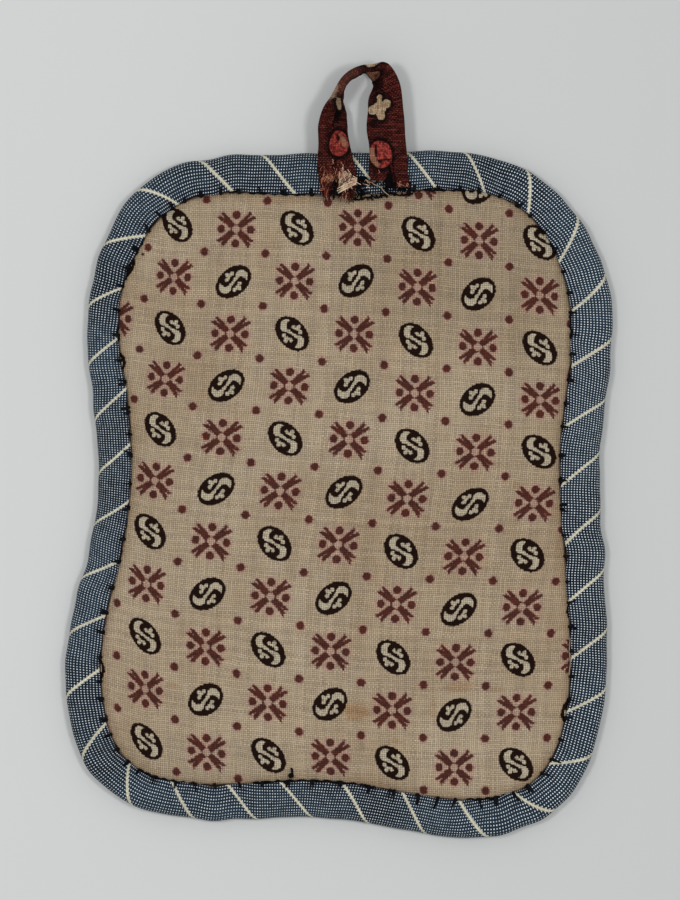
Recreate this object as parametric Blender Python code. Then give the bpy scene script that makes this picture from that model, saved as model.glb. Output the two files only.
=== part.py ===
"""Bound pot holder, lying face up: a printed front panel on a wadded pad, a bias binding folded over the
rim, and a tape loop to hang it by.

Tables and constants are in millimetres. X runs to the right, Y towards the loop and Z up. The underside
of the pad lies on Z = 0, and the origin is under the middle of the whole outline, loop included.
"""

from collections import namedtuple
from math import pi

import bmesh
import bpy
import numpy as np

MM = 0.001

# Layers
CLOTH = 1.0  # one sewn layer of cotton, with its turned edge
GAP = 0.3  # air between two pieces that touch
PAD_RIM = 1.4  # the pad where the binding squeezes it
TAPE = 1.6  # the loop's tape, folded and pressed
RIM = 3 * CLOTH + 3 * GAP + PAD_RIM  # binding, pad, panel, binding
ROUND = RIM / 2  # radius of the binding's fold round the rim

# Shape across the pot holder
SEAM_RISE = 1.0  # the front is this much higher at the seam than at the rim
CROWN = 7.0  # the front's height in the middle
FULLNESS = 6  # how soon the crown rises inside the seam
BACK_LEG = 9.0  # the binding's reach on the back
TURNED_EDGE = 0.3  # the rounding of the binding's free edges
STEP_DOWN = 1.0  # run of the slope by which the back settles on the surface beside the binding

# Fineness
STATIONS = 84  # round the rim
FOLD_STEPS = 6  # round the binding's fold
CROWN_RINGS = (0.05, 0.13, 0.27, 0.5, 0.75)  # shares of the way from the seam to the middle
LOOP_STATIONS = 40

Turn = namedtuple("Turn", "place x y front_leg")
OUTLINE = (
    Turn("right side, at the waist", 69.0, -5.5, 10.5),
    Turn("right side, rising", 71.3, 18.5, 10.5),
    Turn("right side, fullest", 71.5, 43.0, 11.0),
    Turn("top right corner", 60.5, 65.0, 9.5),
    Turn("top edge, right end", 40.0, 77.5, 9.5),
    Turn("top edge, under the loop", 0.0, 78.5, 11.0),
    Turn("top edge, left end", -35.0, 77.0, 9.5),
    Turn("top left corner", -54.5, 67.5, 9.5),
    Turn("left side, upper shoulder", -66.0, 39.5, 8.0),
    Turn("left side, drawing in", -65.0, 14.0, 9.0),
    Turn("left side, at the waist", -63.5, -7.0, 8.5),
    Turn("left side, swelling", -66.0, -26.5, 8.5),
    Turn("left side, fullest", -71.5, -49.5, 9.0),
    Turn("left side, lower shoulder", -68.5, -80.0, 9.5),
    Turn("bottom left corner", -51.5, -95.0, 9.0),
    Turn("bottom edge, left end", -21.5, -97.5, 9.5),
    Turn("bottom edge, dip", 1.0, -97.5, 9.5),
    Turn("bottom edge, lowest", 34.5, -102.5, 10.0),
    Turn("bottom right corner", 58.5, -94.0, 9.5),
    Turn("right side, lower shoulder", 70.5, -63.0, 9.5),
)

# The tape between its two long edges: the outer edge rises to be the upper one over the arch.
Hold = namedtuple("Hold", "place outer_x outer_y outer_z inner_x inner_y inner_z")
LOOP = (
    Hold("left end, sewn down", -3.8, 65.8, 7.4, 4.4, 66.2, 7.4),
    Hold("left leg, over the seam", -4.7, 70.5, 7.4, 4.8, 70.5, 7.4),
    Hold("left leg, on the binding", -5.1, 74.3, 7.5, 4.1, 74.5, 7.3),
    Hold("left leg, leaving the rim", -5.3, 78.2, 8.3, 3.3, 78.3, 6.2),
    Hold("left leg, starting to turn", -5.3, 82.8, 9.3, 2.9, 82.6, 4.7),
    Hold("left leg, half turned", -4.9, 87.5, 9.9, 2.3, 87.3, 3.4),
    Hold("left leg, mostly turned", -3.8, 90.8, 10.3, 1.2, 90.5, 2.2),
    Hold("arch, left foot", -2.0, 93.1, 10.6, 0.3, 93.0, 1.4),
    Hold("arch, left side, on edge", -0.1, 95.8, 10.7, 0.6, 95.6, 1.2),
    Hold("arch, left shoulder", 2.4, 98.5, 10.8, 2.6, 98.4, 1.2),
    Hold("arch, top", 6.5, 100.7, 10.8, 6.6, 100.6, 1.2),
    Hold("arch, starting to lie down", 9.4, 101.2, 10.6, 8.0, 99.4, 1.5),
    Hold("right shoulder, highest", 12.0, 102.1, 10.0, 8.6, 98.0, 2.3),
    Hold("right shoulder, turning", 14.1, 100.7, 9.2, 8.9, 96.5, 3.7),
    Hold("right shoulder, outer bend", 15.7, 97.9, 8.3, 8.6, 94.7, 5.2),
    Hold("right leg, nearly flat", 16.6, 94.5, 7.8, 7.9, 92.6, 6.3),
    Hold("right leg, flat", 17.1, 90.5, 7.5, 7.6, 89.5, 6.9),
    Hold("right leg, middle", 17.6, 86.0, 7.4, 7.7, 85.5, 7.1),
    Hold("right leg, reaching the rim", 17.9, 79.5, 7.4, 8.1, 79.5, 7.3),
    Hold("right leg, on the binding", 18.3, 74.0, 7.4, 8.5, 74.0, 7.4),
    Hold("right end, sewn down", 18.5, 69.1, 7.4, 8.8, 69.1, 7.4),
)


def spline(rows, steps, closed):
    """Cubic spline through the rows, with `steps` points on each span.

    A span from a to b is the Hermite cubic (2u³-3u²+1)a + (u³-2u²+u)kA + (3u²-2u³)b + (u³-u²)kB, where k is
    the square root of the chord and the slopes A, B are solved so that the bend is the same on both sides
    of every row.
    """
    rows = np.array(rows)
    count = len(rows)
    after = np.roll(rows, -1, 0)
    chord = np.sqrt(np.linalg.norm(after - rows, axis=1))
    slopes = np.zeros((count, count))
    pull = np.zeros_like(rows)
    for span in range(count if closed else count - 1):
        start, end = span, (span + 1) % count
        share = 3 * (rows[end] - rows[start]) / chord[span] ** 2
        for here, there in ((start, end), (end, start)):
            slopes[here, here] += 2 / chord[span]
            slopes[here, there] += 1 / chord[span]
            pull[here] += share
    slope = np.linalg.solve(slopes, pull)
    u = np.linspace(0, 1, steps, endpoint=False)[:, None]
    points = []
    for span in range(count if closed else count - 1):
        start, end = span, (span + 1) % count
        points.append(
            (2 * u**3 - 3 * u**2 + 1) * rows[start]
            + (u**3 - 2 * u**2 + u) * chord[span] * slope[start]
            + (3 * u**2 - 2 * u**3) * rows[end]
            + (u**3 - u**2) * chord[span] * slope[end]
        )
    points.append(rows[:1] if closed else rows[-1:])
    return np.concatenate(points)


def evenly(points, count, closed, across=2):
    """The curve read again at `count` points an equal run apart, measured on its first `across` columns."""
    run = np.linalg.norm(np.diff(points[:, :across], axis=0), axis=1)
    run = np.concatenate(([0.0], np.cumsum(run)))
    at = np.linspace(0, run[-1], count, endpoint=not closed)
    return np.column_stack([np.interp(at, run, column) for column in points.T])


class Body:
    """The outline of the pot holder and the rings that every layer is laid out on."""

    def __init__(self):
        rows = [(turn.x, turn.y, turn.front_leg) for turn in OUTLINE]
        points = evenly(spline(rows, steps=24, closed=True), STATIONS, closed=True)
        self.rim = points[:, :2]
        self.leg = points[:, 2]
        along = np.roll(self.rim, -1, 0) - np.roll(self.rim, 1, 0)
        along /= np.linalg.norm(along, axis=1)[:, None]
        self.inward = np.column_stack((-along[:, 1], along[:, 0]))
        self.middle = self.rim.mean(0)

    def ring(self, inset, height, to_middle=0.0):
        """Ring of points `inset` in from the rim, then a share `to_middle` of the way to the middle."""
        inset = inset + 0 * self.leg
        flat = self.rim + self.inward * inset[:, None]
        flat = flat + (self.middle - flat) * to_middle
        return np.column_stack((flat, height + 0 * self.leg))

    def top_of_binding(self, inset):
        """Height of the binding's front: level at the fold, then rising evenly to the seam."""
        return RIM + SEAM_RISE * np.clip((inset - ROUND) / (self.leg - ROUND), 0, 1)

    def front(self, inset, to_middle=0.0):
        """Height of the printed face: a layer under the binding, then rising over the crown."""
        under = self.top_of_binding(inset) - CLOTH - GAP
        return under + (CROWN - under) * (1 - (1 - to_middle) ** FULLNESS)


def fold(body, radius, going_down):
    """Rings half way round the rim's fold, on a half circle of the given radius."""
    angles = np.linspace(pi / 2, 3 * pi / 2, FOLD_STEPS + 1)
    if not going_down:
        angles = angles[::-1]
    return [body.ring(ROUND + radius * np.cos(a), ROUND + radius * np.sin(a)) for a in angles]


def binding_rings(body):
    """Section of the binding: along the front leg, round the fold, along the back leg and back inside."""
    middle_of_leg = (body.leg + ROUND) / 2
    near_seam = body.leg - TURNED_EDGE
    seam_top = body.top_of_binding(body.leg)
    rings = [body.ring(body.leg, seam_top - CLOTH / 2)]
    rings += [body.ring(x, body.top_of_binding(x)) for x in (near_seam, middle_of_leg)]
    rings += fold(body, ROUND, going_down=True)
    rings += [body.ring(BACK_LEG - TURNED_EDGE, 0.0)]
    rings += [body.ring(BACK_LEG, CLOTH / 2)]
    rings += [body.ring(BACK_LEG - TURNED_EDGE, CLOTH)]
    rings += fold(body, ROUND - CLOTH, going_down=False)
    rings += [body.ring(x, body.top_of_binding(x) - CLOTH) for x in (middle_of_leg, near_seam)]
    return rings


def panel_rings(body):
    """Section of the front panel: its face from the middle to the tucked edge, then its wrong side."""
    tucked = ROUND + GAP / 2
    under_leg = (body.leg + tucked) / 2
    insets = [(body.leg, share) for share in reversed(CROWN_RINGS)]
    insets += [(body.leg, 0.0), (under_leg, 0.0), (tucked, 0.0)]
    face = [body.ring(inset, body.front(inset, share), share) for inset, share in insets]
    wrong_side = [body.ring(inset, body.front(inset, share) - CLOTH, share) for inset, share in insets]
    return face + wrong_side[::-1]


def pad_rings(body):
    """Section of the pad: its top under the panel, its rounded rim in the binding, and its underside."""
    tucked = ROUND + GAP
    under_leg = (body.leg + tucked) / 2
    insets = [(body.leg, share) for share in reversed(CROWN_RINGS)]
    insets += [(body.leg, 0.0), (under_leg, 0.0), (tucked, 0.0)]
    rings = [body.ring(inset, body.front(inset, share) - CLOTH - GAP, share) for inset, share in insets]
    over_binding = CLOTH + GAP
    rings += [body.ring(ROUND - PAD_RIM / 2, over_binding + PAD_RIM / 2)]
    rings += [body.ring(tucked, over_binding)]
    rings += [body.ring(BACK_LEG + GAP, over_binding)]
    rings += [body.ring(BACK_LEG + GAP + STEP_DOWN, 0.0)]
    return rings


def loop_rings():
    """Sections of the tape: a flat oblong with blunted corners between the two edges of each station."""
    table = [row[1:] for row in LOOP]
    points = evenly(spline(table, steps=12, closed=False), LOOP_STATIONS, closed=False, across=6)
    outer, inner = points[:, :3], points[:, 3:]
    middle = (outer + inner) / 2
    half = (outer - inner) / 2
    width = np.linalg.norm(half, axis=1)[:, None]
    across = half / width
    along = np.gradient(middle, axis=0)
    through = np.cross(along, across)
    through /= np.linalg.norm(through, axis=1)[:, None]
    blunt = TAPE / 4
    corners = (
        (1, 0, -TAPE / 2 + blunt),
        (1, -blunt, -TAPE / 2),
        (-1, blunt, -TAPE / 2),
        (-1, 0, -TAPE / 2 + blunt),
        (-1, 0, TAPE / 2 - blunt),
        (-1, blunt, TAPE / 2),
        (1, -blunt, TAPE / 2),
        (1, 0, TAPE / 2 - blunt),
    )
    lines = [middle + across * (side * width + shift) + through * depth for side, shift, depth in corners]
    return np.array(lines).transpose(1, 0, 2)


def skin(rings, section_closed, caps):
    """Closed mesh over rings of equal length: quads between neighbours, with a pole or a flat cap at the ends."""
    mesh = bmesh.new()
    loops = [[mesh.verts.new(point * MM) for point in ring] for ring in rings]
    pairs = list(zip(loops, loops[1:]))
    if section_closed:
        pairs.append((loops[-1], loops[0]))
    for one, two in pairs:
        for i in range(len(one)):
            j = (i + 1) % len(one)
            mesh.faces.new((one[i], two[i], two[j], one[j]))
    for end, pole in caps:
        if pole is None:
            mesh.faces.new(loops[end])
            continue
        tip = mesh.verts.new(pole * MM)
        loop = loops[end]
        for i in range(len(loop)):
            mesh.faces.new((loop[i], loop[(i + 1) % len(loop)], tip))
    bmesh.ops.recalc_face_normals(mesh, faces=mesh.faces)
    return mesh


def pole(body, height):
    """The point over the body's middle that closes a stack of rings."""
    return np.array((*body.middle, height))


def material(name, colour, roughness):
    """Plain woven cotton of one colour."""
    cloth = bpy.data.materials.new(name)
    cloth.use_nodes = True
    shader = cloth.node_tree.nodes["Principled BSDF"]
    shader.inputs["Base Color"].default_value = (*colour, 1.0)
    shader.inputs["Roughness"].default_value = roughness
    shader.inputs["Metallic"].default_value = 0.0
    cloth.diffuse_color = (*colour, 1.0)
    return cloth


def add(name, mesh, cloth, parent):
    """One sub-part, shaded smooth but for its sharp edges, under the pot holder's empty."""
    data = bpy.data.meshes.new(name)
    mesh.to_mesh(data)
    mesh.free()
    data.materials.append(cloth)
    data.shade_smooth()
    data.set_sharp_from_angle(angle=pi / 4)
    piece = bpy.data.objects.new(name, data)
    bpy.context.scene.collection.objects.link(piece)
    piece.parent = parent
    return piece


def build():
    for leftover in list(bpy.data.objects):
        bpy.data.objects.remove(leftover, do_unlink=True)
    holder = bpy.data.objects.new("pot_holder", None)
    bpy.context.scene.collection.objects.link(holder)
    body = Body()
    face, wrong_side = CROWN, CROWN - CLOTH
    panel = skin(
        panel_rings(body),
        section_closed=False,
        caps=((0, pole(body, face)), (-1, pole(body, wrong_side))),
    )
    pad = skin(
        pad_rings(body),
        section_closed=False,
        caps=((0, pole(body, wrong_side - GAP)), (-1, pole(body, 0.0))),
    )
    binding = skin(binding_rings(body), section_closed=True, caps=())
    loop = skin(loop_rings(), section_closed=False, caps=((0, None), (-1, None)))
    add("front_panel", panel, material("printed_cotton", (0.31, 0.25, 0.16), 0.9), holder)
    add("pad", pad, material("backing_cotton", (0.51, 0.43, 0.3), 0.9), holder)
    add("binding", binding, material("chambray", (0.08, 0.1, 0.13), 0.85), holder)
    add("loop", loop, material("madder_print", (0.09, 0.026, 0.023), 0.85), holder)


build()
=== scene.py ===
"""A bound cotton pot holder lying face up on a pale table, seen from straight above.

Lengths are in millimetres and `MM` turns them into the metres of the mesh. X runs to the right, Y towards
the hanging loop and Z up, with the table at Z = 0.
"""

from collections import namedtuple
from math import pi

import bpy
import numpy as np
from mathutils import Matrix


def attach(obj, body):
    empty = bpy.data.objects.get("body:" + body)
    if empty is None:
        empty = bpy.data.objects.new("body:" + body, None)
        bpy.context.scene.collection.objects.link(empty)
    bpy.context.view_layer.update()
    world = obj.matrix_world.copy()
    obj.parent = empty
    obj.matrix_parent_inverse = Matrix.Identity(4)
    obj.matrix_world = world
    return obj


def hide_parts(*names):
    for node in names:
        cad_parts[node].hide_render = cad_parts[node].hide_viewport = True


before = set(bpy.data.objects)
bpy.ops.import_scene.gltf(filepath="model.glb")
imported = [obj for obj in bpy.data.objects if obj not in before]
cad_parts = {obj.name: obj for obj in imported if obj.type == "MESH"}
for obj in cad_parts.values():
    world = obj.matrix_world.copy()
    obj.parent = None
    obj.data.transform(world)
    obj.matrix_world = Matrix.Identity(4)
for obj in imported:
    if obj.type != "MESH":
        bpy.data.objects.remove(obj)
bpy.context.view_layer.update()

# ----------------------------------------
# The pad
# Cotton wadding on a plain unbleached backing cloth, cut to the waisted outline and squeezed thin at the
# rim, where the binding holds it. Its outline and the heights of its layers carry all the other pieces.
# ----------------------------------------

MM = 0.001
CLOTH = 1.0  # one sewn layer of cotton with its turned edge
GAP = 0.3  # air between two layers
PAD_RIM = 1.4  # the pad where the binding squeezes it
RIM = 3 * CLOTH + 3 * GAP + PAD_RIM  # binding, pad, panel, binding
ROUND = RIM / 2  # radius of the binding's fold round the rim
SEAM_RISE = 1.0  # the front is this much higher at the seam than at the rim
CROWN = 7.0  # the front's height in the middle
BACK_LEG = 9.0  # the binding's reach on the back

# `stripes` counts the binding's ivory stripes that have met the rim by then, from its join under the loop.
Turn = namedtuple("Turn", "place x y front_leg stripes")
OUTLINE = (
    Turn("top edge, under the loop", 0.0, 78.5, 11.0, 0.75),
    Turn("top edge, left end", -35.0, 77.0, 9.5, 2.9),
    Turn("top left corner", -54.5, 67.5, 9.5, 4.1),
    Turn("left side, upper shoulder", -66.0, 39.5, 8.0, 5.9),
    Turn("left side, drawing in", -65.0, 14.0, 9.0, 7.55),
    Turn("left side, at the waist", -63.5, -7.0, 8.5, 9.05),
    Turn("left side, swelling", -66.0, -26.5, 8.5, 10.5),
    Turn("left side, fullest", -71.5, -49.5, 9.0, 12.05),
    Turn("left side, lower shoulder", -68.5, -80.0, 9.5, 13.9),
    Turn("bottom left corner", -51.5, -95.0, 9.0, 15.2),
    Turn("bottom edge, left end", -21.5, -97.5, 9.5, 17.0),
    Turn("bottom edge, dip", 1.0, -97.5, 9.5, 18.55),
    Turn("bottom edge, lowest", 34.5, -102.5, 10.0, 20.75),
    Turn("bottom right corner", 58.5, -94.0, 9.5, 22.1),
    Turn("right side, lower shoulder", 70.5, -63.0, 9.5, 24.0),
    Turn("right side, at the waist", 69.0, -5.5, 10.5, 27.65),
    Turn("right side, rising", 71.3, 18.5, 10.5, 29.35),
    Turn("right side, fullest", 71.5, 43.0, 11.0, 30.8),
    Turn("top right corner", 60.5, 65.0, 9.5, 32.25),
    Turn("top edge, right end", 40.0, 77.5, 9.5, 33.56),
)
STRIPES_IN_ALL = 36.13  # by the time the rim has been gone round once


def spline(rows, steps, closed):
    """Cubic spline through the rows, with `steps` points on each span.

    A span from a to b is the Hermite cubic (2u³-3u²+1)a + (u³-2u²+u)kA + (3u²-2u³)b + (u³-u²)kB. Here k is
    the square root of the chord, and the slopes A, B are solved so that the bend is the same on both sides
    of every row.
    """
    rows = np.array(rows)
    count = len(rows)
    chord = np.sqrt(np.linalg.norm(np.roll(rows, -1, 0) - rows, axis=1))
    spans = range(count if closed else count - 1)
    slopes = np.zeros((count, count))
    pull = np.zeros_like(rows)
    for start in spans:
        end = (start + 1) % count
        share = 3 * (rows[end] - rows[start]) / chord[start] ** 2
        for here, there in ((start, end), (end, start)):
            slopes[here, here] += 2 / chord[start]
            slopes[here, there] += 1 / chord[start]
            pull[here] += share
    slope = np.linalg.solve(slopes, pull)
    u = np.linspace(0, 1, steps, endpoint=False)[:, None]
    points = []
    for start in spans:
        end = (start + 1) % count
        points.append(
            (2 * u**3 - 3 * u**2 + 1) * rows[start]
            + (u**3 - 2 * u**2 + u) * chord[start] * slope[start]
            + (3 * u**2 - 2 * u**3) * rows[end]
            + (u**3 - u**2) * chord[start] * slope[end]
        )
    points.append(rows[:1] if closed else rows[-1:])
    return np.concatenate(points)


def run_along(points):
    """Length of the way to each point of a line or of many lines: the sum of the straight steps before it."""
    steps = np.linalg.norm(np.diff(points, axis=-2), axis=-1)
    return np.concatenate((0 * steps[..., :1], np.cumsum(steps, axis=-1)), axis=-1)


RIM_STEPS = 48
rim_line = spline([(turn.x, turn.y, turn.front_leg) for turn in OUTLINE], RIM_STEPS, closed=True)
rim_run = run_along(rim_line[:, :2])
RIM_LENGTH = rim_run[-1]


def round_rim(run, column):
    """A column of the rim's line, read at lengths round the rim that may pass its start or end."""
    return np.interp(np.mod(run, RIM_LENGTH), rim_run, column)


def place_on_rim(run, inset):
    """Points `inset` in from the rim, square to it, at the given lengths round it."""
    reach = 0.5
    behind, here, ahead = (
        [round_rim(run + way, rim_line[:, axis]) for axis in (0, 1)] for way in (-reach, 0, reach)
    )
    along_x, along_y = ahead[0] - behind[0], ahead[1] - behind[1]
    length = np.hypot(along_x, along_y)
    return np.stack((here[0] - along_y / length * inset, here[1] + along_x / length * inset), axis=-1)


def leg_at(run):
    """How far the binding reaches in over the front there."""
    return round_rim(run, rim_line[:, 2])


PLACES_ROUND = 84  # places round the rim whose mean is the middle
MIDDLE = place_on_rim(np.linspace(0, RIM_LENGTH, PLACES_ROUND, endpoint=False), 0.0).mean(0)


def ring(run, inset, height, to_middle=0.0):
    """Points in from the rim by `inset`, then a share `to_middle` of the way to the middle."""
    run, inset, height, to_middle = np.broadcast_arrays(run, inset, height, to_middle)
    flat = place_on_rim(run, inset)
    flat = flat + (MIDDLE - flat) * to_middle[..., None]
    return np.concatenate((flat, height[..., None]), axis=-1)


def binding_top(run, inset):
    """Height of the binding's front: level over the fold, then rising evenly to the seam."""
    return RIM + SEAM_RISE * np.clip((inset - ROUND) / (leg_at(run) - ROUND), 0, 1)


waves = np.random.default_rng(11).uniform(0, 1, (14, 3))


def unevenness(x, y, wavelength):
    """Soft hand-made unevenness, mostly from -1 to 1: the sum of slanting sines over the root of their power.

    Each sine is 0.7 to 1.6 times the wavelength long.
    """
    total = 0.0
    for heading, phase, stretch in waves:
        turn = 2 * pi / (wavelength * (0.7 + 0.9 * stretch))
        total = total + np.sin(turn * (x * np.cos(pi * heading) + y * np.sin(pi * heading)) + 2 * pi * phase)
    return total / np.sqrt(2 * len(waves))


def mesh(name, places, faces, maps):
    """Smooth mesh of places in millimetres. Each of `maps` gives (u, v) at every corner of every face."""
    data = bpy.data.meshes.new(name)
    data.from_pydata((places * MM).tolist(), [], faces)
    for label, values in maps.items():
        data.uv_layers.new(name=label).uv.foreach_set("vector", values.astype("f").ravel())
    data.shade_smooth()
    return data


def surface(name, points, maps, closed=(False, False), poles=(None, None)):
    """Mesh on a grid of points[i, j], with square faces between neighbours.

    `closed` says which of the two ways joins its last row to its first. Each of `maps` is a grid of (u, v)
    with one more row that way, so that a pattern runs on over the join. `poles` are the points that close
    the first and the last column with triangles.
    """
    rows, columns = points.shape[:2]
    i, j = np.meshgrid(np.arange(rows - (not closed[0])), np.arange(columns - (not closed[1])), indexing="ij")
    corners = [(i, j), (i + 1, j), (i + 1, j + 1), (i, j + 1)]
    quads = np.stack([(a % rows) * columns + b % columns for a, b in corners], axis=-1)
    faces = quads.reshape(-1, 4).tolist()
    places = [points.reshape(-1, 3)]
    at = np.arange(rows)
    fans = []
    for pole, column, turned in zip(poles, (0, columns - 1), (True, False)):
        if pole is None:
            continue
        edge = [(at, column), (at + 1, column)]
        fans.append((edge[::-1] if turned else edge, column))
        tip = rows * columns + len(places) - 1
        ring_of_edge = [(a % rows) * columns + b for a, b in fans[-1][0]]
        faces += np.stack((*ring_of_edge, tip + 0 * at), axis=-1).tolist()
        places.append(np.array([pole]))
    of_corners = {}
    for label, grid in maps.items():
        values = [np.stack([grid[a, b] for a, b in corners], axis=-2).reshape(-1, 2)]
        for edge, column in fans:
            tip = np.broadcast_to(grid[:rows, column].mean(0), (rows, 2))
            values.append(np.stack((*(grid[a, b] for a, b in edge), tip), axis=1).reshape(-1, 2))
        of_corners[label] = np.concatenate(values)
    return mesh(name, np.concatenate(places), faces, of_corners)


def in_scene(name, data):
    """A new object with that data, at the origin of the scene."""
    made = bpy.data.objects.new(name, data)
    bpy.context.scene.collection.objects.link(made)
    return made


def piece(name, data, material, nodes=()):
    """The finished piece in the scene: it stands for its nodes and rides with the pot holder's one body."""
    data.materials.append(material)
    made = in_scene(name, data)
    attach(made, "root")
    if nodes:
        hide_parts(*nodes)
    return made


def feed(socket, value):
    """Links a wire to a socket, or sets the socket to a plain value."""
    if isinstance(value, Wire):
        value.tree.links.new(value.socket, socket)
    else:
        socket.default_value = value


class Wire:
    """A value running between nodes; arithmetic on it lays Math nodes."""

    def __init__(self, socket):
        self.socket = socket
        self.tree = socket.id_data

    def math(self, operation, *others):
        node = self.tree.nodes.new("ShaderNodeMath")
        node.operation = operation
        for socket, value in zip(node.inputs, (self, *others)):
            feed(socket, value)
        return Wire(node.outputs[0])

    def __add__(self, other):
        return self.math("ADD", other)

    def __sub__(self, other):
        return self.math("SUBTRACT", other)

    def __rsub__(self, other):
        return self * -1.0 + other

    def __mul__(self, other):
        return self.math("MULTIPLY", other)

    def __truediv__(self, other):
        return self.math("DIVIDE", other)

    def __neg__(self):
        return self * -1.0

    def __abs__(self):
        return self.math("ABSOLUTE")

    def floor(self):
        return self.math("FLOOR")

    def parity(self):
        """0 for an even whole number and 1 for an odd one."""
        return (self * 0.5).math("FRACT") * 2.0

    def ramp(self, start, end):
        """0 at `start`, 1 at `end`, with a soft S between them."""
        node = lay("MapRange", Value=self, From_Min=start, From_Max=end)
        node.interpolation_type = "SMOOTHSTEP"
        return Wire(node.outputs["Result"])


def tree_of(*values):
    """The node tree that the wires among the values run in."""
    return next(value.tree for value in values if isinstance(value, Wire))


def lay(kind, **inputs):
    """A new shader node of that kind, its inputs fed by name with _ for a blank."""
    node = tree_of(*inputs.values()).nodes.new("ShaderNode" + kind)
    for label, value in inputs.items():
        feed(node.inputs[label.replace("_", " ")], value)
    return node


def hypotenuse(a, b):
    return (a * a + b * b).math("SQRT")


def noise(place, scale, detail=2.0, roughness=0.5):
    """Cloudy noise from 0 to 1 at a place."""
    node = lay("TexNoise", Vector=place, Scale=scale, Detail=detail, Roughness=roughness)
    return Wire(node.outputs["Fac"])


def vector(x, y, z=0.0):
    return Wire(lay("CombineXYZ", X=x, Y=y, Z=z).outputs[0])


def parts_of(place):
    node = lay("SeparateXYZ", Vector=place)
    return tuple(Wire(node.outputs[axis]) for axis in "XYZ")


def colour_mix(share, under, over):
    """`over` laid on `under` by a share from 0 to 1."""
    node = tree_of(share).nodes.new("ShaderNodeMix")
    node.data_type = "RGBA"
    by_name = {socket.identifier: socket for socket in node.inputs}
    feed(by_name["Factor_Float"], share)
    feed(by_name["A_Color"], under)
    feed(by_name["B_Color"], over)
    return Wire(next(socket for socket in node.outputs if socket.identifier == "Result_Color"))


def shade_by(colour, strength):
    """The colour made darker below strength 1 and lighter above it."""
    node = tree_of(strength).nodes.new("ShaderNodeVectorMath")
    node.operation = "SCALE"
    feed(node.inputs[0], colour if isinstance(colour, Wire) else colour[:3])
    feed(node.inputs["Scale"], strength)
    return Wire(node.outputs[0])


def dye(red, green, blue):
    """A colour named by its screen values from 0 to 255, made linear."""
    share = np.array((red, green, blue)) / 255
    linear = np.where(share < 0.04045, share / 12.92, ((share + 0.055) / 1.055) ** 2.4)
    return (*(float(value) for value in linear), 1.0)


def group(name, inputs, outputs):
    """An empty node group with named sockets, and its inputs as wires."""
    tree = bpy.data.node_groups.new(name, "ShaderNodeTree")
    for label, kind in inputs.items():
        tree.interface.new_socket(name=label, in_out="INPUT", socket_type="NodeSocket" + kind)
    for label in outputs:
        tree.interface.new_socket(name=label, in_out="OUTPUT", socket_type="NodeSocketFloat")
    start = tree.nodes.new("NodeGroupInput")
    return tree, [Wire(start.outputs[label]) for label in inputs]


def finish_group(**outputs):
    end = tree_of(*outputs.values()).nodes.new("NodeGroupOutput")
    for label, value in outputs.items():
        feed(end.inputs[label.replace("_", " ")], value)


def use(made, **inputs):
    """Places a group in its inputs' tree; returns its outputs as wires, by name."""
    node = tree_of(*inputs.values()).nodes.new("ShaderNodeGroup")
    node.node_tree = made
    for label, value in inputs.items():
        feed(node.inputs[label.replace("_", " ")], value)
    return {socket.name: Wire(socket) for socket in node.outputs}


def plain_weave():
    """Plain weave: lengthwise and crosswise threads that pass over each other in turn.

    Each whole step of `Threads` is one thread. In even crossings the lengthwise thread is on top. A thread is
    high along its middle line, as the cosine of the way across it, and dips where it goes under. The crown
    is the round top of each crossing, the product of both cosines.
    """
    tree, (threads, wander) = group(
        "plain weave",
        {"Threads": "Vector", "Wander": "Float"},
        ("Crosswise on top", "Height", "Crown", "Gap", "Thread shade"),
    )
    across, along, _ = parts_of(threads)
    dip = 0.45  # share of its height that a thread loses at the edge of the thread over it
    of_thread, of_slub = 0.6, 1.4  # shares of the shade: a thread's own tone, and its thick and thin places
    slub, apart = 0.16, 3.7  # how fast the slubs go by along a thread, and how unlike its neighbours it is
    drift = vector(across * 0.045, along * 0.045)
    across = across + (noise(drift, 1.0) - 0.5) * wander
    along = along + (noise(vector(along * 0.05, across * 0.05, 7.0), 1.0) - 0.5) * wander
    lengthwise, crosswise = across.floor(), along.floor()
    over_long = ((across - lengthwise - 0.5) * pi).math("COSINE")
    over_cross = ((along - crosswise - 0.5) * pi).math("COSINE")
    on_top = (lengthwise + crosswise).parity().math("ROUND")
    high_long = over_long * (over_cross * dip + (1 - dip))
    high_cross = over_cross * (over_long * dip + (1 - dip))
    height = high_long + (high_cross - high_long) * on_top
    tone_long = Wire(lay("TexWhiteNoise", Vector=vector(lengthwise, 3.0)).outputs["Value"])
    tone_cross = Wire(lay("TexWhiteNoise", Vector=vector(5.0, crosswise)).outputs["Value"])
    slub_long = noise(vector(lengthwise * apart, along * slub), 1.0)
    slub_cross = noise(vector(across * slub, crosswise * apart, 4.0), 1.0)
    shade_long = tone_long * of_thread + slub_long * of_slub
    shade_cross = tone_cross * of_thread + slub_cross * of_slub
    shade = (shade_long + (shade_cross - shade_long) * on_top) - 1.0
    finish_group(
        Crosswise_on_top=on_top,
        Height=height,
        Crown=over_long * over_cross,
        Gap=height.ramp(0.45, 0.05),
        Thread_shade=shade,
    )
    return tree


def soiling():
    """Handling marks: broad cloudy patches, and a finer cloud that breaks up the edges of stains."""
    tree, (place, size) = group(
        "soiling", {"Place": "Vector", "Patches per metre": "Float"}, ("Soil", "Patch noise")
    )
    broad = noise(place, size, detail=4.0, roughness=0.62)
    fine = noise(place, size * 9.0, detail=3.0, roughness=0.6)
    finish_group(Soil=(broad * 0.7 + fine * 0.3).ramp(0.35, 0.7), Patch_noise=fine)
    return tree


WEAVE = plain_weave()
SOIL = soiling()


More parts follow.
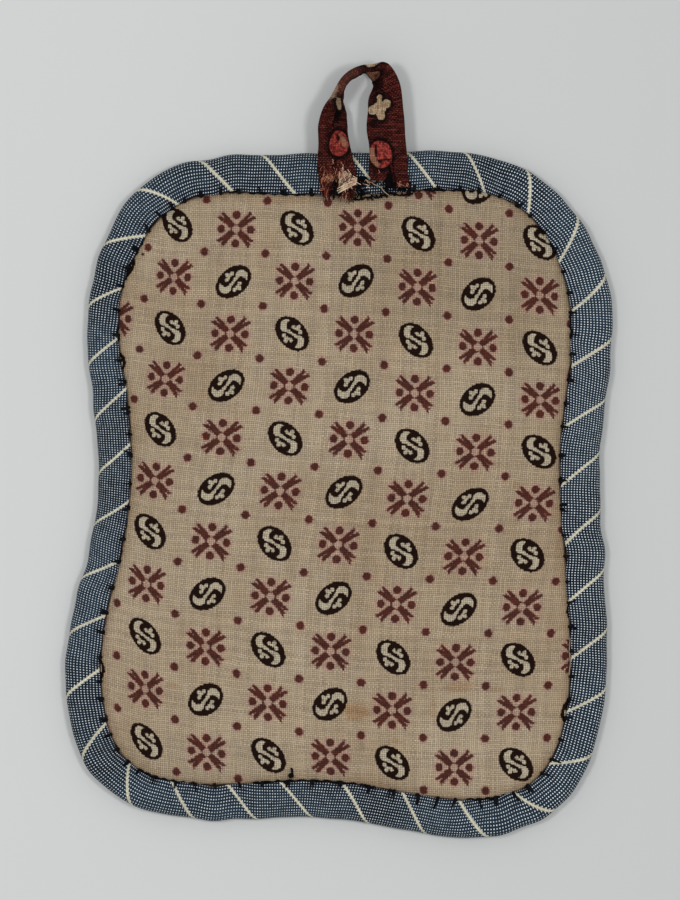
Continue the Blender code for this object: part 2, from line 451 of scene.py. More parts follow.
def cotton(name, roughness, sheen):
    """A bare cloth material; returns it with its tree and its shader's inputs."""
    made = bpy.data.materials.new(name)
    made.use_nodes = True
    shader = made.node_tree.nodes["Principled BSDF"]
    shader.inputs["Roughness"].default_value = roughness
    shader.inputs["Specular IOR Level"].default_value = 0.06
    shader.inputs["Sheen Weight"].default_value = sheen
    shader.inputs["Sheen Roughness"].default_value = 0.6
    return made, made.node_tree, shader.inputs


def uv(tree, label):
    node = tree.nodes.new("ShaderNodeUVMap")
    node.uv_map = label
    return Wire(node.outputs["UV"])


def own_place(tree):
    return Wire(tree.nodes.new("ShaderNodeTexCoord").outputs["Object"])


def finish_cloth(inputs, colour, weave, contrast, relief):
    """The colour with its threads' `contrast` in shade, and with the threads raised, in millimetres."""
    feed(inputs["Base Color"], shade_by(colour, weave["Thread shade"] * contrast + 1.0))
    bump = lay("Bump", Height=weave["Height"], Distance=relief * MM, Strength=1.0)
    feed(inputs["Normal"], Wire(bump.outputs["Normal"]))


def backing_cotton():
    material, tree, inputs = cotton("backing_cotton", roughness=0.9, sheen=0.15)
    place = own_place(tree)
    x, y, _ = parts_of(place)
    thread = 0.00052
    weave = use(WEAVE, Threads=vector(x / thread, y / thread), Wander=2.5)
    soil = use(SOIL, Place=place, Patches_per_metre=28.0)
    cloth = colour_mix(soil["Soil"] * 0.5, dye(190, 177, 150), dye(168, 150, 118))
    cloth = colour_mix(weave["Gap"] * 0.55, cloth, dye(105, 90, 66))
    finish_cloth(inputs, cloth, weave, contrast=0.22, relief=0.12)
    return material


SWELL = 2.4  # how far in from the seam the face has done most of its quick rise
FLATNESS = 6  # how flat the crown is: the higher, the flatter its middle


def face_height(run, to_middle, away):
    """Height of the printed face inside the seam, `away` from it.

    Half of it swells quickly beside the seam, as 1 - e^(-away / SWELL), and half slowly over the crown, as
    1 - (1 - share)^FLATNESS for the share of the way to the middle.
    """
    at_seam = binding_top(run, leg_at(run)) - CLOTH
    beside_seam = 1 - np.exp(-away / SWELL)
    over_crown = 1 - (1 - to_middle) ** FLATNESS
    return at_seam + (CROWN - at_seam) * (0.5 * beside_seam + 0.5 * over_crown)


def way_in(run, to_middle):
    """Distance from the seam at a share of the way to the middle."""
    return to_middle * np.linalg.norm(place_on_rim(run, leg_at(run)) - MIDDLE, axis=-1)


PAD_STATIONS = 300
SETTLING = 2.2  # run of the slope by which the back settles on the table beside the binding
UNDERSIDE_PUCKER = 0.35
PUCKER_REACH = 6  # how far in from the seam the puckers fade out
PUCKER_LENGTH = 9.0

run = np.linspace(0, RIM_LENGTH, PAD_STATIONS, endpoint=False)[:, None]
share = (0.985 * np.linspace(1, 0, 26) ** 1.3)[None]  # closer together towards the binding
underside = ring(run, BACK_LEG + GAP + SETTLING, 0.0, share)
fading = np.exp(-way_in(run, share) / PUCKER_REACH)
ripple = 0.5 + 0.5 * unevenness(underside[..., 0], underside[..., 1], PUCKER_LENGTH)
underside[..., 2] = np.clip(UNDERSIDE_PUCKER * fading * ripple * (share < share.max()), 0, None)
step = np.linspace(1, 0, 6)[None, 1:]
slope = ring(run, BACK_LEG + GAP + SETTLING * step, (CLOTH + GAP) * (1 - step) ** 2)
in_binding = ring(run, np.array([[(ROUND + BACK_LEG) / 2, ROUND + GAP]]), CLOTH + GAP)
rim_of_pad = ring(run, ROUND - PAD_RIM / 2, CLOTH + GAP + PAD_RIM / 2)
share = (0.97 * np.linspace(0, 1, 14) ** 1.6)[None]
tucked = ROUND + GAP
under_binding = ring(run, np.array([[tucked]]), binding_top(run, tucked) - 2 * (CLOTH + GAP))
under_face = face_height(run, share, way_in(run, share)) - CLOTH - GAP
top = ring(run, leg_at(run), under_face, share)
pad_grid = np.concatenate((underside, slope, in_binding, rim_of_pad, under_binding, top), axis=1)
pad_poles = ((*MIDDLE, 0.0), (*MIDDLE, CROWN - CLOTH - GAP))
pad = piece(
    "pad_cloth",
    surface("pad_cloth", pad_grid, {}, closed=(True, False), poles=pad_poles),
    backing_cotton(),
    nodes=["pad"],
)

# ----------------------------------------
# The front panel
# One piece of tan printed cotton laid over the pad, its raw edge tucked under the binding all round. It
# swells beside the seam and dips at every whip stitch, and the print and the weave follow its grain.
# ----------------------------------------

PANEL = 0.45  # thickness of the cotton
PANEL_STATIONS = 560
PRESSED = 0.17  # how much lower the cloth lies where the stitches press it under the turned edge
STITCHES = 88
STITCH_PULL = 1.4  # how far a stitch's dip reaches along the seam
PANEL_DIP, DIP_IN = 0.32, 1.6  # how deep a stitch dips the panel, and how far in
SLACKNESS = 0.16  # height of the face's soft unevenness
SEAM_PUCKER = 0.14  # height of the puckers beside the seam

stitch_rng = np.random.default_rng(5)
stitch_steps = stitch_rng.uniform(0.82, 1.18, STITCHES)
stitch_runs = np.cumsum(stitch_steps) / stitch_steps.sum() * RIM_LENGTH


def bell(distance, reach):
    """1 at no distance, falling to 0 on both sides as e^-(distance / reach)²."""
    return np.exp(-((distance / reach) ** 2))


def near_stitch(run):
    """A bell round every whip stitch."""
    away = np.expand_dims(run, -1) - stitch_runs
    away = np.abs((away + RIM_LENGTH / 2) % RIM_LENGTH - RIM_LENGTH / 2).min(-1)
    return bell(away, STITCH_PULL)


# Where the print's rows and columns stand on the pad: the height and the place of the left-hand column, the
# columns' pitch, how much lower each column stands than the one to its left, and how far the ends of a row
# are bowed up from its middle.
Grain = namedtuple("Grain", "place row height left pitch drop bow")
GRAIN = (
    Grain("under the top binding", -1.3, 78.1, -42.5, 15.9, 0.72, -0.9),
    Grain("top row", 0, 59.95, -43.15, 16.05, 0.76, -0.8),
    Grain("upper part", 2, 32.4, -45.0, 16.35, 0.87, -0.35),
    Grain("above the waist", 4, 5.15, -47.6, 16.75, 0.97, 0.45),
    Grain("below the waist", 6, -22.3, -50.35, 16.7, 1.02, 1.15),
    Grain("lower part", 8, -50.2, -51.65, 16.5, 1.02, 1.65),
    Grain("bottom row", 10, -78.1, -51.25, 16.35, 1.0, 1.8),
    Grain("under the bottom binding", 11.6, -100.2, -50.6, 16.3, 1.0, 1.8),
)
COLUMN_PITCH, ROW_PITCH = 16.35, 13.8  # as printed, before the cloth was pulled about
MIDDLE_COLUMN = 3
LEFT_PULL, LEFT_LIFT = 1.3, 1.7  # the print is drawn in and up at the left, where the face turns down


def print_place(x, y):
    """Column and row of the print at a place, settled in a few rounds because each depends on the other."""
    line = spline([row[1:] for row in GRAIN], 12, closed=False)
    column, row = 0 * x, 0 * y
    for _ in range(6):
        left, pitch, drop, bow = (np.interp(row, line[:, 0], line[:, at]) for at in (2, 3, 4, 5))
        bowed = bow * (((column - MIDDLE_COLUMN) / MIDDLE_COLUMN) ** 2 - 0.4)
        bowed = bowed + LEFT_LIFT * np.clip(-column, 0, 1)
        row = np.interp(-(y + drop * column - bowed), -line[:, 1], line[:, 0])
        column = (x - left - LEFT_PULL * np.clip(0.45 - column, 0, 1.5) ** 1.3) / pitch
    return np.stack((column, row), axis=-1)


# Soft creases in the face, each a shallow trough between two ends.
Crease = namedtuple("Crease", "place x0 y0 x1 y1 half_width depth")
CREASES = (
    Crease("right of the middle, upper", 12.9, 40.0, 12.7, -8.0, 1.6, 0.16),
    Crease("right of the middle, lower", 10.6, -39.0, 9.8, -66.0, 1.2, 0.12),
)


def creases(x, y):
    """Sum of the troughs, each a bell across its line that fades out at both ends."""
    total = 0.0
    for crease in CREASES:
        way = np.array((crease.x1 - crease.x0, crease.y1 - crease.y0))
        length = np.hypot(*way)
        along = ((x - crease.x0) * way[0] + (y - crease.y0) * way[1]) / length**2
        aside = ((x - crease.x0) * way[1] - (y - crease.y0) * way[0]) / length
        ends = np.clip(along / 0.15, 0, 1) * np.clip((1 - along) / 0.15, 0, 1)
        total = total + crease.depth * bell(aside, crease.half_width) * ends
    return total


run = np.linspace(0, RIM_LENGTH, PANEL_STATIONS, endpoint=False)[:, None]
hidden = np.linspace(0, 1, 5)[None, :-1]
tucked = ROUND + 2 * GAP
inset = tucked + (leg_at(run) - tucked) * hidden
tucked_edge = ring(run, inset, binding_top(run, inset) - CLOTH - GAP / 3 - PRESSED)
step = np.linspace(0, 1, 58)[None, :-1]
share = 0.22 * step + 0.78 * step**2
away = way_in(run, share)
height = face_height(run, share, away) - GAP / 3 - PRESSED * np.exp(-away / 1.2)
height = height - PANEL_DIP * near_stitch(run) * np.exp(-away / DIP_IN)
face = ring(run, leg_at(run), height, share)
x, y = face[..., 0], face[..., 1]
beside_seam = np.exp(-away / 7)
face[..., 2] += SLACKNESS * unevenness(x, y, 24.0) * (1 - beside_seam) - creases(x, y)
puckers = unevenness(run + 0 * away, away * 0.4, 8.0) * beside_seam * (1 - np.exp(-away / 1.5))
face[..., 2] += SEAM_PUCKER * puckers
panel_grid = np.concatenate((tucked_edge, face), axis=1)


def wrapped(grid):
    """The grid with its first row again after its last."""
    return np.concatenate((grid, grid[:1]), axis=0)


seam_distance = np.concatenate((inset - leg_at(run), away), axis=1)[..., None]
panel_maps = {
    "Print": print_place(*np.moveaxis(wrapped(panel_grid)[..., :2], -1, 0)),
    "Seam": wrapped(np.concatenate((seam_distance, 0 * seam_distance), axis=-1)),
}


def turned(x, y, degrees):
    """Coordinates in a frame turned anticlockwise by that angle."""
    cosine, sine = float(np.cos(np.radians(degrees))), float(np.sin(np.radians(degrees)))
    return x * cosine + y * sine, y * cosine - x * sine


def spot(x, y, at_x, at_y, radius):
    """Distance outside a round spot, negative inside it."""
    return hypotenuse(x - at_x, y - at_y) - radius


def nearest(shapes):
    """Distance to the nearest of several shapes."""
    closest = shapes[0]
    for shape in shapes[1:]:
        closest = closest.math("MINIMUM", shape)
    return closest


def inked(distance, softness=0.12):
    """1 inside a shape and 0 outside, with a narrow soft edge."""
    return distance.ramp(softness, -softness)


Lobe = namedtuple("Lobe", "place x y radius")
SPRIG = (
    Lobe("stalk end", 0.24, 1.78, 0.5),
    Lobe("stalk", 0.78, 1.4, 0.35),
    Lobe("heart", 1.3, 1.2, 0.4),
    Lobe("upper petal", 1.62, 1.84, 0.54),
    Lobe("outer petal's root", 1.78, 0.98, 0.34),
    Lobe("outer petal", 2.14, 0.52, 0.48),
)


figure_sockets = {"X": "Float", "Y": "Float", "Ragged": "Float"}


def medallion():
    """Oval medallion: a dark oval with a cream scroll of two curled leaves on one stem, and two sprigs.

    The scroll looks the same turned half round, so one leaf and one sprig are drawn and the rest is folded
    on to them. A leaf is a round spot with a smaller round bite taken out of it.
    """
    tree, (x, y, ragged) = group("oval medallion", figure_sockets, ("Ground", "Scroll"))
    major, minor = turned(x, y, -44)
    oval = (hypotenuse(major / 5.28, minor / 3.7) - 1.0) * 4.4
    half = (y + x * 0.15).math("SIGN")
    fold_x, fold_y = x * half, y * half
    leaf = spot(fold_x, fold_y, -1.64, 2.0, 1.66).math("MAXIMUM", -spot(fold_x, fold_y, 0.12, 2.05, 1.68))
    along, aside = turned(x, y, -30)
    stem = (abs(along) - 1.6).math("MAXIMUM", abs(aside) - abs(along) * 0.1 - 0.3)
    sprig = nearest([spot(fold_x, fold_y, lobe.x, lobe.y, lobe.radius) for lobe in SPRIG])
    scroll = inked(nearest([leaf, stem, sprig]) + ragged) * inked(oval + 0.6)
    finish_group(Ground=inked(oval + ragged), Scroll=scroll)
    return tree


def crossed_sprigs():
    """Crossed figure: four forked arms from an open middle and a spot between each two, in a pale halo.

    The arms are brushed out: hairs that run along an arm lengthen and narrow its end.
    """
    tree, (x, y, ragged) = group("crossed sprigs", figure_sockets, ("Figure", "Halo"))
    fold_x, fold_y = abs(x), abs(y)
    out, aside = turned(fold_x, fold_y, 41.5)
    hairs = noise(vector(aside * 1.7 + x.math("SIGN") * 3.1, out * 0.3, y.math("SIGN") * 5.3), 1.0) - 0.5
    body = abs(aside) - (out * 0.06 + 0.77) + hairs * (out - 2.0).math("MAXIMUM", 0.0) * 0.4
    fork = (out - 4.4) * 0.24 - abs(aside)
    ends = out - 5.75 + hairs * 2.0
    arm = body.math("MAXIMUM", fork).math("MAXIMUM", ends).math("MAXIMUM", 0.98 - hypotenuse(x, y))
    spots = nearest([spot(fold_x, fold_y, 3.98, 0.0, 1.08), spot(fold_x, fold_y, 0.0, 3.75, 1.1)])
    around = nearest([(abs(aside) - 1.5).math("MAXIMUM", ends - 0.3), spots - 0.6, hypotenuse(x, y) - 1.5])
    finish_group(
        Figure=inked(nearest([arm, spots]) + ragged * 1.6, 0.2),
        Halo=inked(around + ragged * 2.0, 0.35),
    )
    return tree


THREADS_PER_COLUMN = 31
THREADS_PER_ROW = 26
SWAY = 0.78  # the print steps down in every second odd column by this, and up in the others
TO_THREAD = 0.4  # how far the ink keeps to whole threads
TURNED_OVAL = 86.5  # degrees by which the ovals of odd columns are turned
SMALL_SPOT, SPOT_HALO = 1.1, 1.45  # radii


# Marks on the face: scorches, drops and handling from a long life in a kitchen, and broad patches darker at
# the top right.
SCORCH, GREY_BROWN, INK = dye(166, 122, 78), dye(112, 98, 74), dye(30, 14, 12)
Mark = namedtuple("Mark", "place x y reach_x reach_y strength colour")
MARKS = (
    Mark("darker, top right", 32.0, 52.0, 34.0, 22.0, 0.2, GREY_BROWN),
    Mark("darker, right side", 56.0, 30.0, 16.0, 30.0, 0.12, GREY_BROWN),
    Mark("handled, lower left", -38.0, -84.0, 26.0, 9.0, 0.12, GREY_BROWN),
    Mark("scorched, below the middle", 5.0, -69.0, 4.6, 2.4, 0.5, SCORCH),
    Mark("scorched, its end", 10.5, -67.0, 2.2, 3.0, 0.25, SCORCH),
    Mark("scorched, right of it", 24.8, -68.0, 1.1, 2.6, 0.25, SCORCH),
    Mark("scorched, lower right", 32.0, -62.6, 4.2, 1.4, 0.38, SCORCH),
    Mark("scorched, at the far right", 41.5, -63.2, 2.6, 0.9, 0.3, SCORCH),
    Mark("scorched, small", 14.8, -76.6, 1.2, 0.9, 0.3, SCORCH),
    Mark("old drop, near it", 6.0, -78.2, 0.8, 1.4, 0.3, GREY_BROWN),
    Mark("scorched, along the top seam", -14.0, 65.6, 8.0, 0.6, 0.3, SCORCH),
    Mark("drop, left side", -44.0, -62.1, 1.3, 1.0, 0.25, SCORCH),
    Mark("drop, right side", 46.6, -9.2, 1.3, 1.0, 0.25, SCORCH),
    Mark("black speck, top left", -51.8, 51.8, 0.42, 0.42, 0.98, INK),
)


def printed_cotton():
    """Tan ground with the two figures in turn on the print's lattice and a small spot in every gap.

    The ink takes to whole threads, so each figure is read a share TO_THREAD of the way to the middle of its
    crossing.
    """
    material, tree, inputs = cotton("printed_cotton", roughness=0.95, sheen=0.0)
    column, row, _ = parts_of(uv(tree, "Print"))
    threads = vector(column * THREADS_PER_COLUMN, row * THREADS_PER_ROW)
    weave = use(WEAVE, Threads=threads, Wander=3.0)

    ragged = (noise(threads, 0.8, detail=1.0) - 0.5) * 0.5

    def to_thread(value, count):
        snapped = ((value * count).floor() + 0.5) / count
        return value + (snapped - value) * TO_THREAD

    print_column = to_thread(column, THREADS_PER_COLUMN)
    nearest_column = (print_column + 0.5).floor()
    sway = (nearest_column * (pi / 2)).math("SINE") * (SWAY / ROW_PITCH)
    print_row = to_thread(row - sway, THREADS_PER_ROW)
    nearest_row = (print_row + 0.5).floor()
    x = (print_column - nearest_column) * COLUMN_PITCH
    y = (nearest_row - print_row) * ROW_PITCH
    odd_column = nearest_column.parity()
    crossed = (nearest_column + nearest_row).parity()
    turned_x, turned_y = turned(x, y, TURNED_OVAL)
    oval = use(
        medallion(),
        X=x + (turned_x - x) * odd_column,
        Y=y + (turned_y - y) * odd_column,
        Ragged=ragged,
    )
    cross = use(crossed_sprigs(), X=x, Y=y, Ragged=ragged)
    gap_x = (print_column - print_column.floor() - 0.5) * COLUMN_PITCH
    gap_y = (row - row.floor() - 0.5) * ROW_PITCH
    small_spot = inked(hypotenuse(gap_x, gap_y) - SMALL_SPOT + ragged * 1.6, 0.25)
    spot_halo = inked(hypotenuse(gap_x, gap_y) - SPOT_HALO + ragged * 2.0, 0.3)

    place = own_place(tree)
    x_place, y_place, _ = parts_of(place)
    soil = use(SOIL, Place=place, Patches_per_metre=22.0)
    seam, _, _ = parts_of(uv(tree, "Seam"))
    cloth = colour_mix(soil["Soil"] * 0.8, dye(187, 169, 143), dye(167, 144, 116))
    for mark in MARKS:
        away_x = (x_place - mark.x * MM) / (mark.reach_x * MM)
        away_y = (y_place - mark.y * MM) / (mark.reach_y * MM)
        marked = (hypotenuse(away_x, away_y) + (soil["Patch noise"] - 0.5) * 1.6).ramp(1.3, 0.6)
        cloth = colour_mix(marked * mark.strength, cloth, mark.colour)
    # Browner within 4 mm of the seam, dirt with painted shade, then a dark painted shadow right along the
    # seam, where the binding's turned edge overhangs the panel.
    cloth = colour_mix(seam.ramp(4.0, 0.0) * 0.35, cloth, dye(152, 122, 90))
    cloth = colour_mix(seam.ramp(0.55, 0.1) * 0.7, cloth, dye(60, 40, 30))
    halo = (cross["Halo"] * crossed).math("MAXIMUM", spot_halo)
    cloth = colour_mix(halo * 0.62, cloth, dye(184, 144, 130))
    maroon = (cross["Figure"] * crossed).math("MAXIMUM", small_spot)
    ink_depth = noise(threads, 0.45).ramp(0.3, 0.7)
    maroon_ink = colour_mix(ink_depth, dye(91, 43, 34), dye(57, 19, 15))
    cloth = colour_mix(maroon * (0.98 - ink_depth * 0.05), cloth, maroon_ink)
    dark = oval["Ground"] * (1.0 - crossed)
    cloth = colour_mix(dark * 0.99, cloth, dye(28, 10, 6))
    cream = oval["Scroll"] * dark
    cloth = colour_mix(cream * 0.95, cloth, dye(194, 181, 156))
    cloth = shade_by(cloth, weave["Gap"] * -0.85 + 1.0)
    finish_cloth(inputs, cloth, weave, contrast=0.5, relief=0.1)
    return material


def solidify(made, thickness):
    """Gives the cloth its thickness on its wrong side."""
    wall = made.modifiers.new("thickness", "SOLIDIFY")
    wall.thickness = thickness * MM
    wall.offset = -1.0
    wall.use_quality_normals = True


panel_poles = (None, (*MIDDLE, panel_grid[:, -1, 2].mean()))
panel_data = surface("front_cloth", panel_grid, panel_maps, closed=(True, False), poles=panel_poles)
front = piece("front_cloth", panel_data, printed_cotton(), nodes=["front_panel"])
solidify(front, PANEL)

# ----------------------------------------
# The binding
# A bias-cut strip of blue chambray with woven ivory stripes, folded over the rim with both edges turned
# under. It is eased round the corners, so its stripes stand wider apart there, and joined under the loop.
# ----------------------------------------

STRIP = 0.42  # thickness of the chambray
TURN_UNDER = 5.0  # cloth turned under at each edge
BINDING_STATIONS = 870
EDGE = CLOTH / 2  # radius of the turned edge
THREADS_PER_STRIPE = 23
WARP_LEAN = 0.75  # how far a stripe runs on along the rim for each millimetre across the strip
WEFT_LEAN = 0.95  # and how far a weft thread runs back
SCALLOP = 0.3  # how far each stitch lets the front edge stand out
BINDING_DIP = 0.3
EASED = 0.13  # height of the soft creases where the strip is eased


# The strip is joined on the slant of its stripes, and does not match there: one stripe comes too soon.
JOIN = 2.0  # where the join meets the rim, as a length round it
LAP = 36  # stripes that each lap adds to the count
PER_STRIPE = 16.2  # stripes' pitch on both sides of the join
JOIN_WIDTH, JOIN_DEPTH = 0.6, 0.25
turn_runs = rim_run[::RIM_STEPS]
stripe_counts = np.array([turn.stripes for turn in OUTLINE] + [STRIPES_IN_ALL])
past_join = np.array((-40.0, 40.0))
STRIPE_RUNS = np.concatenate((turn_runs[:1] + past_join[:1], turn_runs, turn_runs[-1:] + past_join[1:]))
STRIPE_COUNTS = np.interp(STRIPE_RUNS, turn_runs, stripe_counts) + np.array(
    [past_join[0] / PER_STRIPE] + [0.0] * len(turn_runs) + [past_join[1] / PER_STRIPE]
)


def stripes_by(run, lap):
    """How many stripes have met the rim by then, on that lap of the strip."""
    return np.interp(run - lap * RIM_LENGTH, STRIPE_RUNS, STRIPE_COUNTS) + LAP * lap


def binding_section(run):
    """Inset and height across the strip: the back's turned edge and leg, the fold, the front leg and edge.

    A turned edge and the fold are half circles, (sin a, cos a) of their radius. The legs between are
    straight.
    """
    scallop = SCALLOP * near_stitch(run) - 0.15 * unevenness(run, 0 * run, 14.0)
    leg = leg_at(run) - scallop
    back = BACK_LEG + 0.25 * unevenness(run, 0 * run + 40, 17.0)
    half = np.linspace(0, pi, 8)[None]
    rim = np.linspace(-pi / 2, pi / 2, 15)[None, 1:-1]
    way = np.linspace(0, 1, 12)[None]
    few = np.linspace(0, 1, 4)[None]
    seam_top = binding_top(run, leg)
    insets = [
        back - EDGE - (TURN_UNDER - EDGE) * (1 - few),
        back - EDGE + EDGE * np.sin(half[:, 1:]),
        ROUND + (back - EDGE - ROUND) * (1 - way[:, 1:]),
        ROUND - ROUND * np.cos(rim) + 0 * run,
        ROUND + (leg - EDGE - ROUND) * way[:, :-1],
        leg - EDGE + EDGE * np.sin(half),
        leg - EDGE - (TURN_UNDER - EDGE) * few[:, 1:],
    ]
    heights = [
        CLOTH + 0 * (run + few),
        EDGE + EDGE * np.cos(half[:, 1:]) + 0 * run,
        0 * (run + way[:, 1:]),
        ROUND + ROUND * np.sin(rim) + 0 * run,
        binding_top(run, insets[4]),
        seam_top - EDGE + EDGE * np.cos(half),
        binding_top(run, insets[6]) - CLOTH,
    ]
    rim_column = sum(part.shape[1] for part in insets[:3]) + insets[3].shape[1] // 2
    return np.concatenate(insets, axis=1), np.concatenate(heights, axis=1), rim_column


run = np.linspace(0, RIM_LENGTH, BINDING_STATIONS, endpoint=False)[:, None]
inset, height, rim_column = binding_section(run)
inset = inset + 0.3 * unevenness(run, 0 * run + 9, 11.0)
strip = ring(run, inset, height)
across = run_along(strip)
across = across - across[:, rim_column : rim_column + 1]
from_seam = np.clip(leg_at(run) - inset, 0, None)
on_front = np.clip(across / 3, 0, 1)
easing = unevenness(run + 0.5 * across, 0.35 * across, 7.5)
strip[..., 2] += on_front * (EASED * easing - BINDING_DIP * near_stitch(run) * np.exp(-from_seam / 1.3))
from_join = (run - JOIN + WARP_LEAN * across + RIM_LENGTH / 2) % RIM_LENGTH - RIM_LENGTH / 2
join = bell(from_join, JOIN_WIDTH)
strip[..., 2] += join * np.where(height > ROUND, -JOIN_DEPTH, JOIN_DEPTH)

full_run = np.append(run[:, 0], RIM_LENGTH)[:, None]
along_warp = full_run + WARP_LEAN * wrapped(across)
lap = np.floor((along_warp - JOIN) / RIM_LENGTH)
warp = stripes_by(along_warp, lap) * THREADS_PER_STRIPE
weft = stripes_by(full_run - WEFT_LEAN * wrapped(across), lap) * THREADS_PER_STRIPE
strip_maps = {
    "Threads": np.stack((warp, weft), axis=-1),
    "Strip": np.stack((full_run + 0 * wrapped(across), wrapped(across)), axis=-1),
    "Edge": np.stack((wrapped(from_seam), 0 * wrapped(across)), axis=-1),
}


def chambray():
    """Blue warp and white weft, so that every crossing of the weft shows as a pale fleck on blue.

    A stripe is a little wider than one warp thread, and barbed out to nearly two at every second weft thread.
    """
    material, tree, inputs = cotton("chambray", roughness=0.92, sheen=0.0)
    threads = uv(tree, "Threads")
    warp, weft, _ = parts_of(threads)
    _, across, _ = parts_of(uv(tree, "Strip"))
    weave = use(WEAVE, Threads=threads, Wander=0.8)
    place = own_place(tree)
    soil = use(SOIL, Place=place, Patches_per_metre=40.0)
    from_seam, _, _ = parts_of(uv(tree, "Edge"))
    blue = colour_mix(soil["Soil"], dye(42, 61, 77), dye(21, 32, 42))
    x_place, y_place, _ = parts_of(place)
    # Painted light: the binding's pale flecks are drawn brighter on its right side, the side lit more
    # strongly.
    painted_light_right = x_place.ramp(0.03, 0.065)
    blue = colour_mix(across.ramp(4.0, -1.0) * 0.2, blue, dye(66, 76, 84))
    # Darker towards the seam: dirt, with painted shade where the turned edge rolls down to the panel.
    blue = colour_mix(from_seam.ramp(3.5, 0.0) * 0.6, blue, dye(16, 26, 46))
    fleck = weave["Crosswise on top"] * weave["Crown"].ramp(0.4, 0.78)
    worn = noise(vector(warp * 0.7, across * 1.4), 0.5).ramp(0.3, 0.6)
    cloth = colour_mix(fleck * (worn * 0.4 + painted_light_right * 0.2 + 0.46), blue, dye(232, 240, 242))
    beside = abs(((warp / THREADS_PER_STRIPE + 0.5).math("FRACT") - 0.5) * THREADS_PER_STRIPE - 0.6)
    barbs = (weft * pi).math("COSINE").ramp(0.1, 0.9)
    bare_x, bare_y, reach = 10.9 * MM, 69.0 * MM, 2.6 * MM  # where a stripe is worn away, by the loop
    worn_away = hypotenuse((x_place - bare_x) / reach, (y_place - bare_y) / reach).ramp(0.7, 1.2)
    in_stripe = (beside - barbs * 0.28).ramp(0.7, 0.46) * worn_away
    cloth = colour_mix(in_stripe * 0.95, cloth, dye(220, 215, 190))
    cloth = colour_mix(weave["Gap"] * (1.0 - in_stripe * 0.6) * 0.78, cloth, dye(9, 12, 18))
    finish_cloth(inputs, cloth, weave, contrast=0.45, relief=0.14)
    return material


strip_data = surface("binding_strip", strip, strip_maps, closed=(True, False))
binding = piece("binding_strip", strip_data, chambray(), nodes=["binding"])
solidify(binding, STRIP)

# ----------------------------------------
# The whip stitches
# Black cotton thread of two plies. Each stitch comes up through the front panel, goes over the turned edge
# and down into the binding; the thread ends in a knot with a short tail on the bottom edge.
# ----------------------------------------

THREAD = 0.23  # radius of a ply
PLY_TURN = 1.1  # length in which the plies go once round each other
GOLDEN = 0.618  # golden ratio
NEARLY_UP = np.array((0.31, 0.17, 0.93))  # never along a thread, so that plies can be set out square to it
STITCH_POINTS = 18

Pass = namedtuple("Pass", "place outward above")
OVER_EDGE = (
    Pass("under the panel", -0.35, -0.9),
    Pass("up through the panel", -0.2, -0.35),
    Pass("against the edge", -0.05, 0.35),
    Pass("over the edge", 0.2, 1.0),
)


def unit(vectors):
    """The vectors brought to length 1."""
    return vectors / np.linalg.norm(vectors, axis=-1, keepdims=True)


def tubes(paths, radius, offset, sides=6):
    """Closed round threads: places and faces of tubes along paths[k, i], for the i-th point of thread k.

    Each ring is a circle square to the path, radius * (cos a * side + sin a * other), where `side` starts
    level and square to the thread's chord. The faces count their corners from `offset`.
    """
    count, points = paths.shape[:2]
    along = unit(np.gradient(paths, axis=1))
    chord = paths[:, -1:] - paths[:, :1]
    level = np.stack((-chord[..., 1], chord[..., 0], 0.001 + 0 * chord[..., 0]), axis=-1)
    side = unit(level - (level * along).sum(-1, keepdims=True) * along)
    other = np.cross(along, side)
    angle = np.linspace(0, 2 * pi, sides, endpoint=False)[:, None]
    spread = np.broadcast_to(radius, (count, points))[..., None, None]
    circle = np.cos(angle) * side[:, :, None] + np.sin(angle) * other[:, :, None]
    rings = paths[:, :, None] + spread * circle
    k, i, s = np.meshgrid(np.arange(count), np.arange(points - 1), np.arange(sides), indexing="ij")
    start = offset + (k * points + i) * sides
    after = (s + 1) % sides
    quads = np.stack((start + s, start + after, start + sides + after, start + sides + s), -1)
    first = offset + np.arange(count)[:, None] * points * sides + np.arange(sides)[::-1]
    last = first[:, ::-1] + (points - 1) * sides
    return rings.reshape(-1, 3), quads.reshape(-1, 4).tolist() + first.tolist() + last.tolist()


def threads_mesh(name, bundles):
    """One mesh of several bundles of tubes, each (paths, radius, tone).

    The map "Tone" keeps the tone, and beside it a shade that differs from one thread to the next: the
    fraction of the thread's number times the golden ratio.
    """
    places, faces, tones = [], [], []
    offset = 0
    for paths, radius, tone in bundles:
        spots, sides = tubes(paths, radius, offset)
        per_tube = len(spots) // len(paths)
        places.append(spots)
        faces += sides
        shade = np.arange(len(paths)) * GOLDEN % 1
        tones.append(np.stack((np.broadcast_to(tone, shade.shape), shade), axis=-1).repeat(per_tube, axis=0))
        offset += len(spots)
    return mesh(name, np.concatenate(places), faces, {"Tone": np.concatenate(tones)[np.concatenate(faces)]})


def smooth_paths(knots, count):
    """Paths of `count` points through the knots of each thread, as Catmull-Rom curves."""
    before, after = 2 * knots[:, :1] - knots[:, 1:2], 2 * knots[:, -1:] - knots[:, -2:-1]
    padded = np.concatenate((before, knots, after), axis=1)
    at = np.linspace(0, knots.shape[1] - 1.0001, count)
    span = at.astype(int)
    u = (at - span)[None, :, None]
    a, b, c, d = (padded[:, span + shift] for shift in range(4))
    return 0.5 * (2 * b + (c - a) * u + (2 * a - 5 * b + 4 * c - d) * u**2 + (3 * b - a - 3 * c + d) * u**3)


